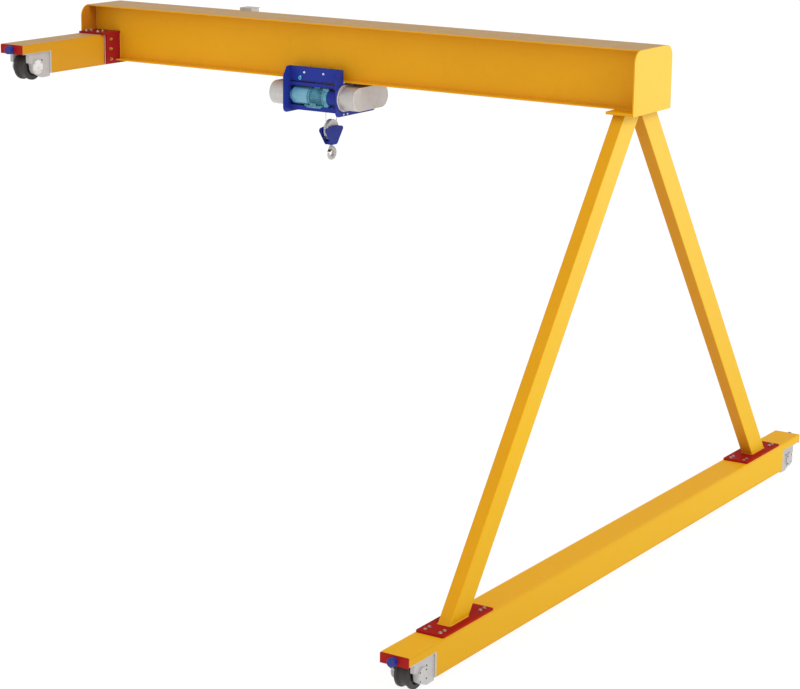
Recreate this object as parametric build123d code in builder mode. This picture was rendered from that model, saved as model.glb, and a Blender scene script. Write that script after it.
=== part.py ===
from build123d import *
import os
import math

os.makedirs("parts", exist_ok=True)

# Semi-gantry crane, millimetres, +Z up.
# X runs along the girder from the runway side to the leg side, Y is the
# direction in which the crane travels, -Y is its front.
# The origin is the middle of the flat underside of the runway carriage.

# ---------------------------------------------------------------- dimensions
SPAN = 7316.0            # runway carriage centre to floor carriage centre
CAR_W = 336.0            # carriage box width
CAR_H = 375.0            # carriage box height
UP_LEN = 3850.0          # runway carriage length
LOW_LEN = 9520.0         # floor carriage length
LOW_TOP = -4799.0        # top of the floor carriage
LOW_H = 363.0            # floor carriage box height
LOW_BOT = LOW_TOP - LOW_H
NOTCH_L = 510.0          # wheel notch length at each carriage end
STRIP_H = 105.0          # depth of the runway carriage top over its notch
STRIP_HL = 95.0          # the same on the floor carriage

G_TOP = 715.0            # top of the girder
FL_T = 15.0              # girder flange thickness
TOP_W = 624.0            # top flange width
BOT_W = 510.0            # bottom flange width
BOT_Z = 42.0             # underside of the bottom flange
WEB_Y = 165.0            # outer face of each web
WEB_T = 12.0
END_W = 900.0            # end plate width
END_T = 15.0
END_R = 138.0            # top corner radius of the end plates
END_BOT = 5.0            # bottom of the leg-side end plate
X_R = 7528.0             # outer face of the leg-side end plate
X_L = -175.0             # outer face of the runway-side end plate
JOINT_T = 25.0           # bolted top plate on the runway carriage
JOINT_X = 212.0          # face of the bolted side plate

LEG_W = 150.0            # leg section along X
LEG_D = 300.0            # leg section in the plane of the frame
HEAD_T = 30.0            # leg head plate
BASE_T = 24.0            # leg base plates
LEG_YT = 181.5           # leg centre line at the head plate
LEG_YB = 3665.0          # leg centre line at the base plate
BASE_Y = 3626.0          # middle of a base plate
BASE_L = 982.0
BASE_W = 332.0
LEG_FIL = 12.0           # corner radius of the leg section

WH_U = 270.0             # wheel axle to carriage end
WH_Z = 94.0              # wheel axle above the carriage underside
WH_R = 159.0             # wheel flange radius
WH_TR = 139.0            # wheel tread radius
AXLE_R = 35.0
RUN = 0.05               # running clearance, radial

TL0, TL1 = 2886.0, 2898.0    # left plate of the trolley
TR0, TR1 = 3631.0, 3643.0    # right plate of the trolley
TP_Y = 425.0             # half width of the trolley plates
TP_TOP = 193.0
TP_BOT = -354.0
PAN_Y0, PAN_Y1 = 280.0, 292.0
PAN_BOT = 18.0           # lower edge of the wheel panels
TW_X = (3106.0, 3380.0)  # trolley axles
TW_R = 69.0              # trolley wheel tread radius
TW_FR = 72.0             # trolley wheel flange radius
TW_Z = BOT_Z + FL_T + TW_R + 0.3
COV_Z = -141.0           # centre height of the end covers
COV_R = 139.0
COV_RIM = 18.0           # how far the rim of a cover stands out
COV_Y0, COV_Y1 = -256.0, 211.0
MOT_Y, MOT_Z = -230.0, -157.0
HX = 3288.0              # hook block centre along the girder
SHV_R = 122.0            # sheave outer radius
SHV_P = 112.0            # rope line radius on the sheave
SHV_Z = -569.0           # sheave pin height
ROPE_R = 4.0
DRUM_R = 90.0
DRUM_Y = SHV_P + DRUM_R + ROPE_R + 0.5
DRUM_Z = -152.0
ANCHOR_Z = -323.0        # underside of the rope anchor bar

leg_slope = (LEG_YB - LEG_YT) / ((BOT_Z - HEAD_T) - (LOW_TOP + BASE_T))
leg_half = LEG_D / 2 / math.cos(math.atan(leg_slope))   # half width, level


# ---------------------------------------------------------------- girder
with BuildPart() as girder_top_flange:
    with BuildSketch(Plane.XY.offset(G_TOP - FL_T)):
        with Locations(((X_L + END_T + X_R - END_T) / 2, 0)):
            Rectangle(X_R - X_L - 2 * END_T, TOP_W)
    extrude(amount=FL_T)
girder_top_flange.part.label = "girder_top_flange"
export_step(girder_top_flange.part, "parts/girder_top_flange.step")

with BuildPart() as girder_bottom_flange:
    with BuildSketch(Plane.XY.offset(BOT_Z)):
        with Locations(((JOINT_X + X_R - END_T) / 2, 0)):
            Rectangle(X_R - END_T - JOINT_X, BOT_W)
    extrude(amount=FL_T)
girder_bottom_flange.part.label = "girder_bottom_flange"
export_step(girder_bottom_flange.part, "parts/girder_bottom_flange.step")

# webs, stepped up over the runway carriage
web_outline = [
    (X_L + END_T, CAR_H + JOINT_T),
    (JOINT_X, CAR_H + JOINT_T),
    (JOINT_X, BOT_Z + FL_T),
    (X_R - END_T, BOT_Z + FL_T),
    (X_R - END_T, G_TOP - FL_T),
    (X_L + END_T, G_TOP - FL_T),
]
with BuildPart() as girder_front_web:
    with BuildSketch(Plane.XZ.offset(WEB_Y - WEB_T)):
        with BuildLine():
            Polyline(*web_outline, close=True)
        make_face()
    extrude(amount=WEB_T)
girder_front_web.part.label = "girder_front_web"
export_step(girder_front_web.part, "parts/girder_front_web.step")

with BuildPart() as girder_rear_web:
    with BuildSketch(Plane.XZ.offset(-WEB_Y)):
        with BuildLine():
            Polyline(*web_outline, close=True)
        make_face()
    extrude(amount=WEB_T)
girder_rear_web.part.label = "girder_rear_web"
export_step(girder_rear_web.part, "parts/girder_rear_web.step")

with BuildPart() as girder_left_end_plate:
    with BuildSketch(Plane.YZ.offset(X_L)) as left_end_sk:
        with Locations((0, (CAR_H + JOINT_T + G_TOP) / 2)):
            Rectangle(END_W, G_TOP - CAR_H - JOINT_T)
        fillet(left_end_sk.vertices().group_by(Axis.Y)[-1], END_R)
    extrude(amount=END_T)
girder_left_end_plate.part.label = "girder_left_end_plate"
export_step(girder_left_end_plate.part, "parts/girder_left_end_plate.step")

with BuildPart() as girder_right_end_plate:
    with BuildSketch(Plane.YZ.offset(X_R - END_T)) as right_end_sk:
        with Locations((0, (END_BOT + G_TOP) / 2)):
            Rectangle(END_W, G_TOP - END_BOT)
        fillet(right_end_sk.vertices().group_by(Axis.Y)[-1], END_R)
        fillet(right_end_sk.vertices().group_by(Axis.Y)[0], 10)
    extrude(amount=END_T)
girder_right_end_plate.part.label = "girder_right_end_plate"
export_step(girder_right_end_plate.part, "parts/girder_right_end_plate.step")

# ---------------------------------------------------------------- bolted joint
with BuildPart() as joint_top_plate:
    with BuildSketch(Plane.XY.offset(CAR_H)):
        with Locations(((X_L + JOINT_X) / 2, 0)):
            Rectangle(JOINT_X - X_L, 984)
    extrude(amount=JOINT_T)
joint_top_plate.part.label = "joint_top_plate"
export_step(joint_top_plate.part, "parts/joint_top_plate.step")

with BuildPart() as joint_side_plate:
    with BuildSketch(Plane.YZ.offset(JOINT_X - 24)):
        with Locations((0, (8 + CAR_H) / 2)):
            Rectangle(850, CAR_H - 8)
    extrude(amount=24)
joint_side_plate.part.label = "joint_side_plate"
export_step(joint_side_plate.part, "parts/joint_side_plate.step")

with BuildPart() as joint_packing_plate:
    with BuildSketch(Plane.YZ.offset(CAR_W / 2)):
        with Locations((0, (12 + CAR_H) / 2)):
            Rectangle(842, CAR_H - 12)
    extrude(amount=JOINT_X - 24 - CAR_W / 2)
joint_packing_plate.part.label = "joint_packing_plate"
export_step(joint_packing_plate.part, "parts/joint_packing_plate.step")


# ---------------------------------------------------------------- carriages
def carriage_outline(length, bottom, height, strip):
    """Side view of a carriage box with a wheel notch at each end."""
    h = length / 2
    n = h - NOTCH_L
    t = bottom + height
    s = t - strip
    return [(-h, t), (-h, s), (-n, s), (-n, bottom), (n, bottom), (n, s), (h, s), (h, t)]


with BuildPart() as upper_carriage:
    with BuildSketch(Plane.YZ.offset(-CAR_W / 2)):
        with BuildLine():
            Polyline(*carriage_outline(UP_LEN, 0.0, CAR_H, STRIP_H), close=True)
        make_face()
    extrude(amount=CAR_W)
upper_carriage.part.label = "upper_carriage"
export_step(upper_carriage.part, "parts/upper_carriage.step")

with BuildPart() as lower_carriage:
    with BuildSketch(Plane.YZ.offset(SPAN - CAR_W / 2)):
        with BuildLine():
            Polyline(*carriage_outline(LOW_LEN, LOW_BOT, LOW_H, STRIP_HL), close=True)
        make_face()
    extrude(amount=CAR_W)
lower_carriage.part.label = "lower_carriage"
export_step(lower_carriage.part, "parts/lower_carriage.step")

# red end plates, set just inside the edges of the carriage box
END_PL_T = 12.0
with BuildPart() as carriage_end_plates:
    for cx, top, half in ((0.0, CAR_H, UP_LEN / 2), (SPAN, LOW_TOP, LOW_LEN / 2)):
        for off in (half, -half - END_PL_T):
            with BuildSketch(Plane.XZ.offset(off)):
                with Locations((cx, top - 57)):
                    Rectangle(CAR_W - 2, 104)
            extrude(amount=END_PL_T)
carriage_end_plates.part.label = "carriage_end_plates"
export_step(carriage_end_plates.part, "parts/carriage_end_plates.step")

# round buffers with a domed nose
BUF_R, BUF_L = 48.0, 72.0
with BuildPart() as buffers:
    for cx, top, half in ((0.0, CAR_H, UP_LEN / 2), (SPAN, LOW_TOP, LOW_LEN / 2)):
        with BuildSketch(Plane.XZ.offset(half + END_PL_T)):
            with Locations((cx, top - 60)):
                Circle(BUF_R)
        extrude(amount=BUF_L)
        with BuildSketch(Plane.XZ.offset(-half - END_PL_T)):
            with Locations((cx, top - 60)):
                Circle(BUF_R)
        extrude(amount=-BUF_L)
    chamfer(buffers.edges().filter_by(GeomType.CIRCLE).group_by(Axis.Y)[0], 8)
    chamfer(buffers.edges().filter_by(GeomType.CIRCLE).group_by(Axis.Y)[-1], 8)
    nose = [e for e in buffers.edges().filter_by(GeomType.CIRCLE)
            if abs(abs(e.center().Y) - (UP_LEN / 2 + END_PL_T + BUF_L)) < 1]
    chamfer(nose, 8)
buffers.part.label = "buffers"
export_step(buffers.part, "parts/buffers.step")

# ---------------------------------------------------------------- wheel blocks
# A cast housing in each notch: two cheeks under a top plate, joined to a
# wider back plate. Every cheek has a round bearing boss and a blind bore for
# the axle.
CHEEK0, CHEEK1 = 100.0, 146.0     # cheek faces from the carriage centre
BOSS_R, BOSS_OUT = 88.0, 163.0
BORE_END = 124.0
TOP_PL_U, TOP_PL_T = 16.0, 8.0    # top plate: start from the carriage end, thickness
BACK_T = 24.0                     # back plate
BACK_U = NOTCH_L - BACK_T         # face of the back plate
NOTCH_H = CAR_H - STRIP_H         # notch height, runway carriage
NOTCH_HL = LOW_H - STRIP_HL       # notch height, floor carriage


def cheek_points(end_y, sign, bottom, height):
    """Cheek outline; u runs in from the carriage end, w up from its underside."""
    uw = [(130, height - TOP_PL_T), (BACK_U, height - TOP_PL_T), (BACK_U, 2), (503, 2), (503, -36),
          (366, -42), (270, 0), (195, 60), (170, 140), (130, 150)]
    return [(end_y + sign * u, bottom + w) for u, w in uw]


with BuildPart() as upper_wheel_blocks:
    for end_y, s in ((-UP_LEN / 2, 1), (UP_LEN / 2, -1)):
        pts = cheek_points(end_y, s, 0.0, NOTCH_H)
        ay = end_y + s * WH_U
        for x0 in (-CHEEK1, CHEEK0):
            with BuildSketch(Plane.YZ.offset(x0)):
                with BuildLine():
                    Polyline(*pts, close=True)
                make_face()
                with Locations((ay, WH_Z)):
                    Circle(BOSS_R)
            extrude(amount=CHEEK1 - CHEEK0)
        for x0 in (-BOSS_OUT, CHEEK1):
            with BuildSketch(Plane.YZ.offset(x0)):
                with Locations((ay, WH_Z)):
                    Circle(BOSS_R)
            extrude(amount=BOSS_OUT - CHEEK1)
        with BuildSketch(Plane.YZ.offset(-CAR_W / 2)):
            with BuildLine():
                Polyline((end_y + s * TOP_PL_U, NOTCH_H - TOP_PL_T), (end_y + s * TOP_PL_U, NOTCH_H),
                         (end_y + s * NOTCH_L, NOTCH_H), (end_y + s * NOTCH_L, 2),
                         (end_y + s * (NOTCH_L - BACK_T), 2),
                         (end_y + s * (NOTCH_L - BACK_T), NOTCH_H - TOP_PL_T), close=True)
            make_face()
        extrude(amount=CAR_W)
        with BuildSketch(Plane.YZ.offset(-BORE_END)):
            with Locations((ay, WH_Z)):
                Circle(AXLE_R + RUN)
        extrude(amount=2 * BORE_END, mode=Mode.SUBTRACT)
upper_wheel_blocks.part.label = "upper_wheel_blocks"
export_step(upper_wheel_blocks.part, "parts/upper_wheel_blocks.step")

with BuildPart() as lower_wheel_blocks:
    for end_y, s in ((-LOW_LEN / 2, 1), (LOW_LEN / 2, -1)):
        pts = cheek_points(end_y, s, LOW_BOT, NOTCH_HL)
        ay = end_y + s * WH_U
        for x0 in (-CHEEK1, CHEEK0):
            with BuildSketch(Plane.YZ.offset(SPAN + x0)):
                with BuildLine():
                    Polyline(*pts, close=True)
                make_face()
                with Locations((ay, LOW_BOT + WH_Z)):
                    Circle(BOSS_R)
            extrude(amount=CHEEK1 - CHEEK0)
        for x0 in (-BOSS_OUT, CHEEK1):
            with BuildSketch(Plane.YZ.offset(SPAN + x0)):
                with Locations((ay, LOW_BOT + WH_Z)):
                    Circle(BOSS_R)
            extrude(amount=BOSS_OUT - CHEEK1)
        with BuildSketch(Plane.YZ.offset(SPAN - CAR_W / 2)):
            with BuildLine():
                Polyline((end_y + s * TOP_PL_U, LOW_BOT + NOTCH_HL - TOP_PL_T), (end_y + s * TOP_PL_U, LOW_BOT + NOTCH_HL),
                         (end_y + s * NOTCH_L, LOW_BOT + NOTCH_HL), (end_y + s * NOTCH_L, LOW_BOT + 2),
                         (end_y + s * (NOTCH_L - BACK_T), LOW_BOT + 2),
                         (end_y + s * (NOTCH_L - BACK_T), LOW_BOT + NOTCH_HL - TOP_PL_T), close=True)
            make_face()
        extrude(amount=CAR_W)
        with BuildSketch(Plane.YZ.offset(SPAN - BORE_END)):
            with Locations((ay, LOW_BOT + WH_Z)):
                Circle(AXLE_R + RUN)
        extrude(amount=2 * BORE_END, mode=Mode.SUBTRACT)
lower_wheel_blocks.part.label = "lower_wheel_blocks"
export_step(lower_wheel_blocks.part, "parts/lower_wheel_blocks.step")

# ---------------------------------------------------------------- travel wheels
# double-flanged wheels, one piece with their axle; half profile (x, radius)
wheel_profile = [
    (-118, 0), (-118, AXLE_R), (-94, AXLE_R), (-94, 62), (-66, 62), (-66, 104),
    (-86, 108), (-86, WH_R - 6), (-80, WH_R), (-54, WH_R), (-45, WH_TR + 4), (-42, WH_TR),
    (42, WH_TR), (45, WH_TR + 4), (54, WH_R), (80, WH_R), (86, WH_R - 6), (86, 108),
    (66, 104), (66, 62), (94, 62), (94, AXLE_R), (118, AXLE_R), (118, 0),
]
wheel_places = (
    ("upper_front_wheel", 0.0, -UP_LEN / 2 + WH_U, WH_Z),
    ("upper_rear_wheel", 0.0, UP_LEN / 2 - WH_U, WH_Z),
    ("lower_front_wheel", SPAN, -LOW_LEN / 2 + WH_U, LOW_BOT + WH_Z),
    ("lower_rear_wheel", SPAN, LOW_LEN / 2 - WH_U, LOW_BOT + WH_Z),
)
for w_name, w_x, w_y, w_z in wheel_places:
    with BuildPart() as travel_wheel:
        with BuildSketch(Plane((w_x, w_y, w_z), x_dir=(1, 0, 0), z_dir=(0, -1, 0))):
            with BuildLine():
                Polyline(*wheel_profile, close=True)
            make_face()
        revolve(axis=Axis((w_x, w_y, w_z), (1, 0, 0)))
    travel_wheel.part.label = w_name
    export_step(travel_wheel.part, "parts/" + w_name + ".step")

# ---------------------------------------------------------------- legs
with BuildPart() as leg_top_plate:
    with BuildSketch(Plane.XY.offset(BOT_Z - HEAD_T)):
        with Locations(((7193 + X_R - END_T) / 2, 0)):
            Rectangle(X_R - END_T - 7193, END_W)
    extrude(amount=HEAD_T)
leg_top_plate.part.label = "leg_top_plate"
export_step(leg_top_plate.part, "parts/leg_top_plate.step")

z_head = BOT_Z - HEAD_T
z_foot = LOW_TOP + BASE_T
inner_cross = z_head - max(0.0, (leg_half - LEG_YT)) / leg_slope
leg_outline = [
    (0.0, z_head), (LEG_YT + leg_half, z_head), (LEG_YB + leg_half, z_foot),
    (LEG_YB - leg_half, z_foot), (0.0, inner_cross),
]
with BuildPart() as front_leg:
    with BuildSketch(Plane.YZ.offset(SPAN - LEG_W / 2)):
        with BuildLine():
            Polyline(*[(-y, z) for y, z in leg_outline], close=True)
        make_face()
    extrude(amount=LEG_W)
    fillet([e for e in front_leg.edges() if e.length > 3000], LEG_FIL)
front_leg.part.label = "front_leg"
export_step(front_leg.part, "parts/front_leg.step")

with BuildPart() as rear_leg:
    with BuildSketch(Plane.YZ.offset(SPAN - LEG_W / 2)):
        with BuildLine():
            Polyline(*leg_outline, close=True)
        make_face()
    extrude(amount=LEG_W)
    fillet([e for e in rear_leg.edges() if e.length > 3000], LEG_FIL)
rear_leg.part.label = "rear_leg"
export_step(rear_leg.part, "parts/rear_leg.step")

# filler between the leg heads, with a rounded lower edge
gus_w = 24.0
gus_z = inner_cross - gus_w / leg_slope
with BuildPart() as leg_head_gusset:
    with BuildSketch(Plane.YZ.offset(SPAN - LEG_W / 2)):
        with BuildLine():
            Line((0.0, inner_cross), (gus_w, gus_z))
            ThreePointArc((gus_w, gus_z), (0.0, gus_z + 12), (-gus_w, gus_z))
            Line((-gus_w, gus_z), (0.0, inner_cross))
        make_face()
    extrude(amount=LEG_W)
leg_head_gusset.part.label = "leg_head_gusset"
export_step(leg_head_gusset.part, "parts/leg_head_gusset.step")

with BuildPart() as leg_base_plates:
    for by in (-BASE_Y, BASE_Y):
        with BuildSketch(Plane.XY.offset(LOW_TOP)) as base_sk:
            with Locations((SPAN, by)):
                Rectangle(BASE_W, BASE_L)
            chamfer(base_sk.vertices(), 8)
        extrude(amount=BASE_T)
leg_base_plates.part.label = "leg_base_plates"
export_step(leg_base_plates.part, "parts/leg_base_plates.step")

# ---------------------------------------------------------------- panel behind the girder
PNL_X0, PNL_X1, PNL_Y0, PNL_Y1, PNL_Z0, PNL_Z1 = 1698.0, 1878.0, 330.0, 480.0, 340.0, 747.0
with BuildPart() as electrical_panel:
    with BuildSketch(Plane.XY.offset(PNL_Z0)):
        with Locations(((PNL_X0 + PNL_X1) / 2, (PNL_Y0 + PNL_Y1) / 2)):
            RectangleRounded(PNL_X1 - PNL_X0, PNL_Y1 - PNL_Y0, 6)
    extrude(amount=PNL_Z1 - PNL_Z0)
electrical_panel.part.label = "electrical_panel"
export_step(electrical_panel.part, "parts/electrical_panel.step")

with BuildPart() as panel_brackets:
    for bz in (400.0, 620.0):
        with BuildSketch(Plane.XY.offset(bz)):
            with Locations(((PNL_X0 + PNL_X1) / 2, (WEB_Y + PNL_Y0) / 2)):
                Rectangle(120, PNL_Y0 - WEB_Y)
        extrude(amount=30)
panel_brackets.part.label = "panel_brackets"
export_step(panel_brackets.part, "parts/panel_brackets.step")

# ---------------------------------------------------------------- trolley frame
# cross plates, cut out round the bottom flange
SLOT_Y = BOT_W / 2 + 13
SLOT_Z = 34.0
LUG_Z = 85.0             # where the outer edge of a lug starts to slope in
LUG_Y = 352.0            # outer edge of a lug at its top
plate_outline = [
    (-TP_Y, LUG_Z), (-TP_Y, TP_BOT), (TP_Y, TP_BOT), (TP_Y, LUG_Z), (LUG_Y, TP_TOP), (SLOT_Y, TP_TOP),
    (SLOT_Y, SLOT_Z), (-SLOT_Y, SLOT_Z), (-SLOT_Y, TP_TOP), (-LUG_Y, TP_TOP),
]
with BuildPart() as trolley_left_plate:
    with BuildSketch(Plane.YZ.offset(TL0)) as left_plate_sk:
        with BuildLine():
            Polyline(*plate_outline, close=True)
        make_face()
        fillet([v for v in left_plate_sk.vertices() if v.Y < TP_BOT + 1], 66)
        fillet([v for v in left_plate_sk.vertices() if abs(v.Y - LUG_Z) < 1 and abs(v.X) > TP_Y - 1], 30)
        fillet([v for v in left_plate_sk.vertices() if v.Y > TP_TOP - 1 and abs(abs(v.X) - LUG_Y) < 1], 22)
    extrude(amount=TL1 - TL0)
trolley_left_plate.part.label = "trolley_left_plate"
export_step(trolley_left_plate.part, "parts/trolley_left_plate.step")

with BuildPart() as trolley_right_plate:
    with BuildSketch(Plane.YZ.offset(TR0)) as right_plate_sk:
        with BuildLine():
            Polyline(*plate_outline, close=True)
        make_face()
        fillet([v for v in right_plate_sk.vertices() if v.Y < TP_BOT + 1], 66)
        fillet([v for v in right_plate_sk.vertices() if abs(v.Y - LUG_Z) < 1 and abs(v.X) > TP_Y - 1], 30)
        fillet([v for v in right_plate_sk.vertices() if v.Y > TP_TOP - 1 and abs(abs(v.X) - LUG_Y) < 1], 22)
        with Locations((-262, -332), (-184, -332), (-290, 111)):
            Circle(10, mode=Mode.SUBTRACT)
    extrude(amount=TR1 - TR0)
trolley_right_plate.part.label = "trolley_right_plate"
export_step(trolley_right_plate.part, "parts/trolley_right_plate.step")

# front and rear: a wheel panel, an upper rail and a lower rail each
frame_x = (TL1 + TR0) / 2
frame_l = TR0 - TL1
for f_name, side in (("trolley_front_frame", -1), ("trolley_rear_frame", 1)):
    with BuildPart() as trolley_side:
        y_lo = min(side * PAN_Y0, side * PAN_Y1)
        with BuildSketch(Plane.XY.offset(PAN_BOT)):
            with Locations((frame_x, side * (PAN_Y0 + PAN_Y1) / 2)):
                Rectangle(frame_l, PAN_Y1 - PAN_Y0)
        extrude(amount=TP_TOP - PAN_BOT)
        with BuildSketch(Plane.XY.offset(-37)):
            with Locations((frame_x, side * 280)):
                Rectangle(frame_l, 40)
        extrude(amount=41)
        with BuildSketch(Plane.XY.offset(-323)):
            with Locations((frame_x, side * 279)):
                Rectangle(frame_l, 42)
        extrude(amount=55)
        # bed plate under the motor, joined to the lower rail
        if side < 0:
            with BuildSketch(Plane.XY.offset(-278)):
                with Locations(((TL1 + 3480) / 2, -204)):
                    Rectangle(3480 - TL1, 108)
            extrude(amount=10)
        # axle holes through the wheel panel
        with BuildSketch(Plane.XZ.offset(-(y_lo + PAN_Y1 - PAN_Y0 + 1))):
            with Locations((TW_X[0], TW_Z), (TW_X[1], TW_Z)):
                Circle(15 + RUN)
        extrude(amount=PAN_Y1 - PAN_Y0 + 2, mode=Mode.SUBTRACT)
    trolley_side.part.label = f_name
    export_step(trolley_side.part, "parts/" + f_name + ".step")

# trolley wheels: single flange outside the girder flange, stub axle in the panel
tw_profile = [
    (0, 192), (40, 192), (40, 190), (TW_R, 190), (TW_R, 261), (TW_FR - 2, 264), (TW_FR, 267),
    (TW_FR, 273), (30, 273), (30, 276), (15, 276), (15, 291), (0, 291),
]
for t_name, t_x, side in (("trolley_wheel_front_left", TW_X[0], -1), ("trolley_wheel_front_right", TW_X[1], -1),
                          ("trolley_wheel_rear_left", TW_X[0], 1), ("trolley_wheel_rear_right", TW_X[1], 1)):
    with BuildPart() as trolley_wheel:
        with BuildSketch(Plane((t_x, 0, TW_Z), x_dir=(1, 0, 0), z_dir=(0, 0, 1))):
            with BuildLine():
                Polyline(*[(r, side * y) for r, y in tw_profile], close=True)
            make_face()
        revolve(axis=Axis((t_x, 0, TW_Z), (0, 1, 0)))
    trolley_wheel.part.label = t_name
    export_step(trolley_wheel.part, "parts/" + t_name + ".step")

# ---------------------------------------------------------------- trolley machinery
with BuildPart() as gear_motor:
    with BuildSketch(Plane((0, MOT_Y, MOT_Z), x_dir=(1, 0, 0), z_dir=(0, -1, 0))):
        with BuildLine():
            Polyline((TL1, 0), (TL1, 70), (2936, 70), (2936, 107), (3160, 107), (3160, 99), (3172, 99),
                     (3172, 106), (3440, 106), (3440, 97), (3590, 97), (3590, 60), (TR0, 60), (TR0, 0),
                     close=True)
        make_face()
    revolve(axis=Axis((0, MOT_Y, MOT_Z), (1, 0, 0)))
    # feet on the lower rail
    with BuildSketch(Plane.XY.offset(-268)):
        with Locations((3150, -279), (3330, -279)):
            Rectangle(80, 42)
    extrude(amount=42)
gear_motor.part.label = "gear_motor"
export_step(gear_motor.part, "parts/gear_motor.step")

with BuildPart() as rope_drum:
    with BuildSketch(Plane((0, DRUM_Y, DRUM_Z), x_dir=(1, 0, 0), z_dir=(0, -1, 0))):
        with BuildLine():
            Polyline((TL1, 0), (TL1, 40), (2910, 40), (2910, 103), (2922, 103), (2922, DRUM_R),
                     (3607, DRUM_R), (3607, 103), (3619, 103), (3619, 40), (TR0, 40), (TR0, 0), close=True)
        make_face()
    revolve(axis=Axis((0, DRUM_Y, DRUM_Z), (1, 0, 0)))
rope_drum.part.label = "rope_drum"
export_step(rope_drum.part, "parts/rope_drum.step")

with BuildPart() as rope_anchor_bar:
    with BuildSketch(Plane.XY.offset(ANCHOR_Z)):
        with Locations((frame_x, -SHV_P)):
            Rectangle(frame_l, 40)
    extrude(amount=45)
rope_anchor_bar.part.label = "rope_anchor_bar"
export_step(rope_anchor_bar.part, "parts/rope_anchor_bar.step")

# oblong end covers with a rim against the cross plates
cov_c = (COV_Y0 + COV_Y1) / 2
cov_s = COV_Y1 - COV_Y0
with BuildPart() as left_end_cover:
    with BuildSketch(Plane.YZ.offset(TL0 - 223)):
        with Locations((cov_c, COV_Z)):
            SlotCenterToCenter(cov_s, 2 * COV_R)
    extrude(amount=223)
    fillet(left_end_cover.edges().group_by(Axis.X)[0], 6)
    with BuildSketch(Plane.YZ.offset(TL0 - 12)):
        with Locations((cov_c, COV_Z)):
            SlotCenterToCenter(cov_s, 2 * (COV_R + COV_RIM))
    extrude(amount=12)
left_end_cover.part.label = "left_end_cover"
export_step(left_end_cover.part, "parts/left_end_cover.step")

with BuildPart() as right_end_cover:
    with BuildSketch(Plane.YZ.offset(TR1)):
        with Locations((cov_c, COV_Z)):
            SlotCenterToCenter(cov_s, 2 * COV_R)
    extrude(amount=223)
    fillet(right_end_cover.edges().group_by(Axis.X)[-1], 6)
    with BuildSketch(Plane.YZ.offset(TR1)):
        with Locations((cov_c, COV_Z)):
            SlotCenterToCenter(cov_s, 2 * (COV_R + COV_RIM))
    extrude(amount=12)
right_end_cover.part.label = "right_end_cover"
export_step(right_end_cover.part, "parts/right_end_cover.step")

# ---------------------------------------------------------------- rope falls
with BuildPart() as rope_fall_drum:
    with BuildSketch(Plane.XY.offset(SHV_Z)):
        with Locations((HX, SHV_P)):
            Circle(ROPE_R)
    extrude(amount=DRUM_Z - SHV_Z)
rope_fall_drum.part.label = "rope_fall_drum"
export_step(rope_fall_drum.part, "parts/rope_fall_drum.step")

with BuildPart() as rope_fall_anchor:
    with BuildSketch(Plane.XY.offset(SHV_Z)):
        with Locations((HX, -SHV_P)):
            Circle(ROPE_R)
    extrude(amount=ANCHOR_Z - SHV_Z)
rope_fall_anchor.part.label = "rope_fall_anchor"
export_step(rope_fall_anchor.part, "parts/rope_fall_anchor.step")

# ---------------------------------------------------------------- hook block
PL_OUT = 50.0            # outer faces of the side plates from the block centre
PL_IN = 38.0
cheek = [(0, -518), (160, -541), (180, -553), (184, -576), (76, -724), (52, -750),
         (-52, -750), (-76, -724), (-184, -576), (-180, -553), (-160, -541)]
with BuildPart() as hook_block_plates:
    for x0 in (HX - PL_OUT, HX + PL_IN):
        with BuildSketch(Plane.YZ.offset(x0)):
            with BuildLine():
                Polyline(*cheek, close=True)
            make_face()
        extrude(amount=PL_OUT - PL_IN)
    with BuildSketch(Plane.YZ.offset(HX - PL_OUT - 1)):
        with Locations((0, SHV_Z)):
            Circle(22)
    extrude(amount=2 * PL_OUT + 2)
hook_block_plates.part.label = "hook_block_plates"
export_step(hook_block_plates.part, "parts/hook_block_plates.step")

with BuildPart() as sheave:
    with BuildSketch(Plane((HX, 0, SHV_Z), x_dir=(1, 0, 0), z_dir=(0, -1, 0))):
        with BuildLine():
            Polyline((-30, 22 + RUN), (-30, 40), (-26, 42), (-26, SHV_R),
                     (-16, SHV_R), (-5, SHV_P - 2.5), (0, SHV_P - 4.5), (5, SHV_P - 2.5), (16, SHV_R),
                     (26, SHV_R), (26, 42), (30, 40), (30, 22 + RUN), close=True)
        make_face()
    revolve(axis=Axis((HX, 0, SHV_Z), (1, 0, 0)))
sheave.part.label = "sheave"
export_step(sheave.part, "parts/sheave.step")

with BuildPart() as hook_crosshead:
    with BuildSketch(Plane.XY.offset(-750)):
        with Locations((HX, 0)):
            Rectangle(2 * PL_IN, 96)
            Circle(17 + RUN, mode=Mode.SUBTRACT)
    extrude(amount=40)
hook_crosshead.part.label = "hook_crosshead"
export_step(hook_crosshead.part, "parts/hook_crosshead.step")

# forged hook: nut, shank, shoulder and bowl in the YZ plane, point towards -Y
BOWL_Y, BOWL_Z, BOWL_C = 5.0, -852.0, 61.0
with BuildPart() as hook:
    with BuildLine(Plane((HX, 0, 0), x_dir=(0, 1, 0), z_dir=(1, 0, 0))) as bowl_line:
        CenterArc((BOWL_Y, BOWL_Z), BOWL_C, 84, -272)
    for t, r in ((0.0, 22), (0.30, 29), (0.60, 28), (0.84, 19), (1.0, 8)):
        with BuildSketch(Plane(origin=bowl_line.line @ t, z_dir=bowl_line.line % t)):
            Circle(r)
    sweep(path=bowl_line.line, multisection=True)
    with BuildSketch(Plane((HX, 0, 0), x_dir=(0, 1, 0), z_dir=(1, 0, 0))):
        with BuildLine():
            Polyline((0, -696), (26, -696), (26, -709.5), (17, -709.5), (17, -758), (20, -774),
                     (27, -786), (28, -804), (20, -822), (0, -828), close=True)
        make_face()
    revolve(axis=Axis((HX, 0, 0), (0, 0, 1)))
hook.part.label = "hook"
export_step(hook.part, "parts/hook.step")

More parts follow.
